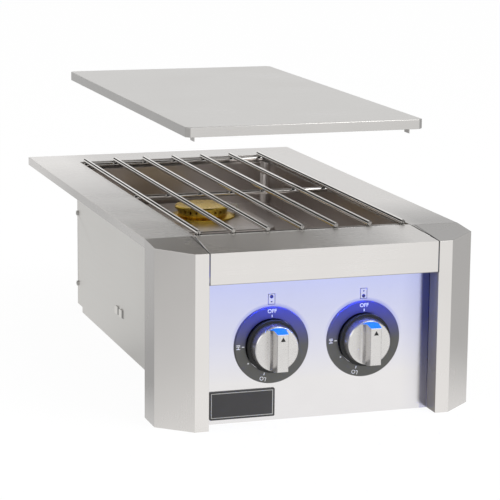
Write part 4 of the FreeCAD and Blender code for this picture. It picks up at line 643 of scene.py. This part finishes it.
def new_piece(name, bm, material, body, smooth=False):
    """A finished piece with outward faces that rides on a body and takes its finish from a slot."""
    bmesh.ops.recalc_face_normals(bm, faces=bm.faces)
    mesh = bpy.data.meshes.new(name)
    bm.to_mesh(mesh)
    bm.free()
    if smooth:
        mesh.shade_smooth()
    piece = bpy.data.objects.new(name, mesh)
    bpy.context.scene.collection.objects.link(piece)
    mesh.materials.append(material)
    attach(piece, body)


def prism(bm, outline, plane_y, thick):
    """A closed flat prism on a plane that faces the front; the outline is given in X and Z."""
    front = [bm.verts.new((x, plane_y - thick, z)) for x, z in outline]
    back = [bm.verts.new((x, plane_y, z)) for x, z in outline]
    bm.faces.new(front)
    bm.faces.new(list(reversed(back)))
    for i in range(len(outline)):
        j = (i + 1) % len(outline)
        bm.faces.new((front[j], front[i], back[i], back[j]))


def outlined_box(bm, x0, z0, x1, z1, line, plane_y):
    """The four bars of a thin rectangular outline."""
    for a, b, c, d in (
        (x0, z0, x1, z0 + line),
        (x0, z1 - line, x1, z1),
        (x0, z0 + line, x0 + line, z1 - line),
        (x1 - line, z0 + line, x1, z1 - line),
    ):
        prism(bm, [(a, b), (c, b), (c, d), (a, d)], plane_y, PRINT)


def polar(centre, radius, degrees):
    """A point about a dial's centre, clockwise from the top as one faces it."""
    angle = math.radians(degrees)
    return centre.x + radius * math.sin(angle), centre.z + radius * math.cos(angle)


def bar_outline(centre, inner, outer, degrees, width):
    """A short radial bar on a dial."""
    ax, az = polar(centre, inner, degrees)
    bx, bz = polar(centre, outer, degrees)
    angle = math.radians(degrees)
    side_x, side_z = math.cos(angle) * width / 2, -math.sin(angle) * width / 2
    return [(ax - side_x, az - side_z), (bx - side_x, bz - side_z), (bx + side_x, bz + side_z),
            (ax + side_x, az + side_z)]


def disc_outline(x, z, radius, count=20):
    """A round outline."""
    turns = [2 * math.pi * i / count for i in range(count)]
    return [(x + radius * math.cos(turn), z + radius * math.sin(turn)) for turn in turns]


DIAL_INK = ink("dial_white_ink", rgb(248, 249, 252))
NAVY_INK = ink("navy_ink", rgb(40, 44, 120))
BLACK_INK_AND_SHADE = ink("pointer_black", rgb(20, 20, 20))
BORDER_INK = ink("border_grey", rgb(206, 206, 202))
LABEL_ANGLES = (("OFF", 0.0), ("HI", -90.0), ("LO", -165.0))
LABEL_RADIUS = 0.0395
LETTER_SIZE = 0.0062
LETTER_BOLD = 0.00012
TICK_INNER, TICK_OUTER, TICK_WIDTH = 0.0325, 0.0355, 0.0012
DOT_ANGLE, DOT_RADIUS = -125.0, 0.0010


def dial_marks(name, centre):
    """Ticks and a dot on a dial, where the real one has its settings."""
    bm = bmesh.new()
    for _, degrees in LABEL_ANGLES:
        prism(bm, bar_outline(centre, TICK_INNER, TICK_OUTER, degrees, TICK_WIDTH), DIAL_FRONT, PRINT)
    x, z = polar(centre, (TICK_INNER + TICK_OUTER) / 2, DOT_ANGLE)
    prism(bm, disc_outline(x, z, DOT_RADIUS), DIAL_FRONT, PRINT)
    new_piece(name + "_dial_marks", bm, DIAL_INK, "housing")


def dial_lettering(name, text, x, z, turn):
    """Plain printed letters on a dial, turned about the way it faces."""
    curve = bpy.data.curves.new(name, "FONT")
    curve.body = text
    curve.align_x = "CENTER"
    curve.align_y = "CENTER"
    curve.size = LETTER_SIZE
    curve.extrude = PRINT / 2
    curve.offset = LETTER_BOLD
    curve.materials.append(DIAL_INK)
    letters = bpy.data.objects.new(name, curve)
    bpy.context.scene.collection.objects.link(letters)
    letters.matrix_world = (Matrix.Translation((x, DIAL_FRONT - PRINT / 2, z)) @ Matrix.Rotation(turn, 4, "Y")
                            @ Matrix.Rotation(math.pi / 2, 4, "X"))
    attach(letters, "housing")


def dial_letters(name, centre):
    """The words of the dial's settings."""
    for text, degrees in LABEL_ANGLES:
        x, z = polar(centre, LABEL_RADIUS, degrees)
        dial_lettering("%s_dial_%s" % (name, text.lower()), text, x, z, math.radians(degrees))


SIGN_WIDTH, SIGN_HEIGHT, SIGN_LINE = 0.0085, 0.0125, 0.0006
SIGN_RISE = 0.0530
SIGN_SPREAD = 0.23
OWN_DOT, OTHER_DOT = 0.0021, 0.0009


def burner_sign(name, centre):
    """A small outline of the two burners above a dial, with a larger dot for the knob's own one."""
    bm = bmesh.new()
    x, z = centre.x, centre.z + SIGN_RISE
    outlined_box(bm, x - SIGN_WIDTH / 2, z - SIGN_HEIGHT / 2, x + SIGN_WIDTH / 2, z + SIGN_HEIGHT / 2,
                 SIGN_LINE, PANEL_FRONT)
    for end, way in zip(ENDS, (1, -1)):
        radius = OWN_DOT if end == name else OTHER_DOT
        prism(bm, disc_outline(x, z + way * SIGN_HEIGHT * SIGN_SPREAD, radius), PANEL_FRONT, PRINT)
    new_piece(name + "_burner_sign", bm, NAVY_INK, "housing")


POINTER_RISE, POINTER_HEIGHT, POINTER_HALF = 0.0185, 0.0052, 0.0030
POINTER_PRINT = PRINT / 4


def knob_pointer(name, centre):
    """The black triangle near the top of a knob's grip."""
    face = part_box(name + "_knob")[0][1]
    top = centre.z + POINTER_RISE
    foot = top - POINTER_HEIGHT
    outline = [(centre.x - POINTER_HALF, foot), (centre.x + POINTER_HALF, foot), (centre.x, top)]
    bm = bmesh.new()
    prism(bm, outline, face, POINTER_PRINT)
    new_piece(name + "_knob_pointer", bm, BLACK_INK_AND_SHADE, name + "_turn")


BORDER_INSET, BORDER_LINE, FIELD_DEPTH = 0.0019, 0.0009, 0.0004


def badge_border():
    """The thin light border on the sunk field of the bare plate."""
    low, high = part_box("badge_plate")
    corners = (low[0] + BORDER_INSET, low[2] + BORDER_INSET, high[0] - BORDER_INSET, high[2] - BORDER_INSET)
    bm = bmesh.new()
    outlined_box(bm, *corners, BORDER_LINE, low[1] + FIELD_DEPTH)
    new_piece("badge_border", bm, BORDER_INK, "housing")


def put(bm, made, place, size):
    """Scales and moves a shape just made, and gives back its corners."""
    bmesh.ops.scale(bm, vec=size, verts=made["verts"])
    bmesh.ops.translate(bm, vec=place, verts=made["verts"])
    return made["verts"]


def add_ball(bm, place, size):
    """A flattened ball at a place."""
    return put(bm, bmesh.ops.create_icosphere(bm, subdivisions=2, radius=1.0), place, size)


def add_block(bm, place, size):
    """A small block about a place."""
    return put(bm, bmesh.ops.create_cube(bm, size=1.0), place, size)


LONG_RODS = 7
ROD_RADIUS = 0.003
BEAD_SIZE = (0.0017, 0.0016, 0.0011)
BEAD_ASIDE = 0.0016


def grate_welds():
    """A small weld bead at both sides of each crossing of the grate's rods."""
    low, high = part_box("grate_long_rods")
    cross_low, cross_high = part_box("grate_cross_rods")
    rod_z = high[2] - ROD_RADIUS
    cross_z = cross_low[2] + ROD_RADIUS
    cross_ys = (cross_low[1] + ROD_RADIUS, (low[1] + high[1]) / 2, cross_high[1] - ROD_RADIUS)
    pitch = (high[0] - low[0] - 2 * ROD_RADIUS) / (LONG_RODS - 1)
    bm = bmesh.new()
    for column in range(LONG_RODS):
        x = low[0] + ROD_RADIUS + column * pitch
        for y in cross_ys:
            for way in (-1, 1):
                add_ball(bm, (x, y + way * BEAD_ASIDE, (rod_z + cross_z) / 2), BEAD_SIZE)
    new_piece("grate_weld_beads", bm, MATERIALS["rod_steel"], "grate", smooth=True)


SCREW_HEAD, RECESS_LENGTH, RECESS_WIDTH = 0.0034, 0.0036, 0.0008
RECESS_DEPTHS = (PRINT, PRINT * 1.2)


def screw_recess_painted_shades():
    """Painted shade: thin black crosses in the heads of the side screws, where their recesses lie."""
    low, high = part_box("side_screws")
    bm = bmesh.new()
    for x in (low[0], high[0]):
        for z in (low[2] + SCREW_HEAD, high[2] - SCREW_HEAD):
            centre = (x, (low[1] + high[1]) / 2, z)
            add_block(bm, centre, (RECESS_DEPTHS[0], RECESS_LENGTH, RECESS_WIDTH))
            add_block(bm, centre, (RECESS_DEPTHS[1], RECESS_WIDTH, RECESS_LENGTH))
    new_piece("screw_recess_painted_shades", bm, BLACK_INK_AND_SHADE, "housing")


DIODES = 18
DIODE_SIZE = (0.0045, 0.0035, 0.0010)
DIODE_RISE = 0.0004
DIODE_BEVEL = 0.0003


def diodes():
    """The row of small diodes on the lamp strip."""
    low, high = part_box("lamp_strip")
    bm = bmesh.new()
    for i in range(DIODES):
        x = low[0] + (i + 0.5) * (high[0] - low[0]) / DIODES
        corners = add_block(bm, (x, (low[1] + high[1]) / 2, high[2] + DIODE_RISE), DIODE_SIZE)
        edges = list({edge for corner in corners for edge in corner.link_edges})
        bmesh.ops.bevel(bm, geom=edges, offset=DIODE_BEVEL, segments=1, affect="EDGES")
    new_piece("lamp_diodes", bm, MATERIALS["lens_plastic"], "housing")


def dress_front():
    """The marks, pointers, signs and border on the front."""
    for name, centre in DIALS.items():
        dial_marks(name, centre)
        dial_letters(name, centre)
        burner_sign(name, centre)
        knob_pointer(name, centre)
    badge_border()


# Floor, light and camera

AHEAD_RAMP = (1.01, 0.60, -0.95, -0.45)
BEHIND_RAMP = (0.0, 0.22, 0.20, 0.95)


def around_level(tree, vector):
    """How light the studio is in reflections, by level direction: most in front, least at the sides."""
    level = add(tree, "VectorMath", {"operation": "MULTIPLY"}, i0=vector, i1=(1.0, 1.0, 0.0))
    heading = add(tree, "VectorMath", {"operation": "NORMALIZE"}, i0=level.outputs[0])
    back = parts_of(tree, heading.outputs[0])["Y"]
    return plus(tree, span(tree, back, *AHEAD_RAMP), span(tree, back, *BEHIND_RAMP))


FLOOR_REACH = 30.0
FLOOR_DROP = 0.0003
FLOOR_PALE = (0.9, 0.9, 0.9, 1.0)
FLOOR_WHITE = 1.04
FLOOR_WHITENESS = 0.90
FLOOR_RAMP = (1.03, 1.0, 0.35, 1.1)


def floor_material():
    """White to the camera but for the object's shadow, and as light as the studio in reflections."""
    material = bpy.data.materials.new("floor_pale")
    material.use_nodes = True
    tree = material.node_tree
    tree.nodes.clear()
    path = add(tree, "LightPath")
    pale = add(tree, "BsdfDiffuse", Color=FLOOR_PALE)
    white = add(tree, "Emission", Color=WHITE, Strength=FLOOR_WHITE)
    to_camera = times(tree, path.outputs["Is Camera Ray"], FLOOR_WHITENESS)
    plain = add(tree, "MixShader", i0=to_camera, i1=pale.outputs[0], i2=white.outputs[0])
    place = add(tree, "NewGeometry").outputs["Position"]
    away = add(tree, "VectorMath", {"operation": "LENGTH"}, i0=place).outputs["Value"]
    level = times(tree, around_level(tree, place), span(tree, away, *FLOOR_RAMP))
    mirrored = add(tree, "Emission", Color=WHITE, Strength=level)
    mixed = add(tree, "MixShader", i0=path.outputs["Is Glossy Ray"], i1=plain.outputs[0],
                i2=mirrored.outputs[0])
    output = add(tree, "OutputMaterial")
    tree.links.new(mixed.outputs[0], output.inputs["Surface"])
    return material


def white_floor():
    """A large flat floor just below the object."""
    mesh = bpy.data.meshes.new("floor")
    reach = FLOOR_REACH
    corners = [(-reach, -reach, 0), (reach, -reach, 0), (reach, reach, 0), (-reach, reach, 0)]
    mesh.from_pydata(corners, [], [(0, 1, 2, 3)])
    floor = bpy.data.objects.new("floor", mesh)
    bpy.context.scene.collection.objects.link(floor)
    floor.location.z = -FLOOR_DROP
    mesh.materials.append(floor_material())


OVERHEAD_RAMP = (1.0, 0.42, 0.50, 0.85)
WORLD_LIGHT = 0.62


def studio_world():
    """White to the camera; reflections see a studio that is lightest in front and dark overhead."""
    world = bpy.data.worlds.new("studio")
    bpy.context.scene.world = world
    world.use_nodes = True
    tree = world.node_tree
    tree.nodes.clear()
    path = add(tree, "LightPath").outputs
    direction = add(tree, "TexCoord").outputs["Generated"]
    height = parts_of(tree, direction)["Z"]
    mirrored = times(tree, around_level(tree, direction), span(tree, height, *OVERHEAD_RAMP))
    seen = blend_values(tree, path["Is Glossy Ray"], WORLD_LIGHT, mirrored)
    level = blend_values(tree, path["Is Camera Ray"], seen, 1.0)
    background = add(tree, "Background", Color=WHITE, Strength=level)
    output = add(tree, "OutputWorld")
    tree.links.new(background.outputs[0], output.inputs["Surface"])


def area_lamp(name, place, target, size, power, colour=(1.0, 1.0, 1.0)):
    """A soft rectangular lamp that shines at a point."""
    data = bpy.data.lights.new(name, "AREA")
    data.shape = "RECTANGLE"
    data.size, data.size_y = size
    data.energy = power
    data.color = colour
    lamp = bpy.data.objects.new(name, data)
    bpy.context.scene.collection.objects.link(lamp)
    lamp.location = place
    towards = Vector(target) - lamp.location
    lamp.rotation_euler = towards.to_track_quat("-Z", "Y").to_euler()


STUDIO_TARGET = (0.0, 0.0, 0.15)
STRIP_Y, STRIP_BELOW_LENS = -0.328, 0.0008
STRIP_TARGET = (0.0, -0.322, 0.05)
STRIP_SIZE = (0.200, 0.004)
STRIP_BLUE = (0.10, 0.20, 1.0)


def studio_lamps():
    """A large key lamp above and to the front right, a weak fill at the left, the blue strip's light."""
    area_lamp("key", place=(1.3, -1.8, 2.6), target=STUDIO_TARGET, size=(1.6, 1.6), power=26.0)
    area_lamp("fill", place=(-2.2, -1.2, 1.2), target=STUDIO_TARGET, size=(1.4, 1.4), power=7.0)
    place = (0.0, STRIP_Y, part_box("lamp_lens")[0][2] - STRIP_BELOW_LENS)
    area_lamp("strip_light", place, STRIP_TARGET, STRIP_SIZE, power=0.42, colour=STRIP_BLUE)


CAMERA_PLACE = (-0.80215, -2.49850, 0.66490)
CAMERA_AZIMUTH, CAMERA_ELEVATION, CAMERA_ROLL = -0.31787, 0.19951, 0.009745
FOCAL_PIXELS, PICTURE_PIXELS, SENSOR_WIDTH = 2105.95, 500.0, 36.0


def camera():
    """The camera that the photograph was taken with, as fitted to the object's edges."""
    azimuth, elevation, roll = CAMERA_AZIMUTH, CAMERA_ELEVATION, CAMERA_ROLL
    back = Vector((math.sin(azimuth) * math.cos(elevation), -math.cos(azimuth) * math.cos(elevation),
                   math.sin(elevation)))
    right = Vector((math.cos(azimuth), math.sin(azimuth), 0.0))
    up = back.cross(right)
    rolled_right = right * math.cos(roll) + up * math.sin(roll)
    rolled_up = up * math.cos(roll) - right * math.sin(roll)
    turn = Matrix((rolled_right, rolled_up, back)).transposed().to_4x4()
    data = bpy.data.cameras.new("camera")
    data.sensor_width = SENSOR_WIDTH
    data.lens = FOCAL_PIXELS / PICTURE_PIXELS * SENSOR_WIDTH
    data.clip_end = 100.0
    made = bpy.data.objects.new("camera", data)
    bpy.context.scene.collection.objects.link(made)
    made.matrix_world = Matrix.Translation(CAMERA_PLACE) @ turn
    bpy.context.scene.camera = made


dress_nodes()
soften_sheets()
dress_front()
grate_welds()
screw_recess_painted_shades()
diodes()
white_floor()
studio_world()
studio_lamps()
camera()
bpy.context.scene.view_settings.view_transform = "Standard"
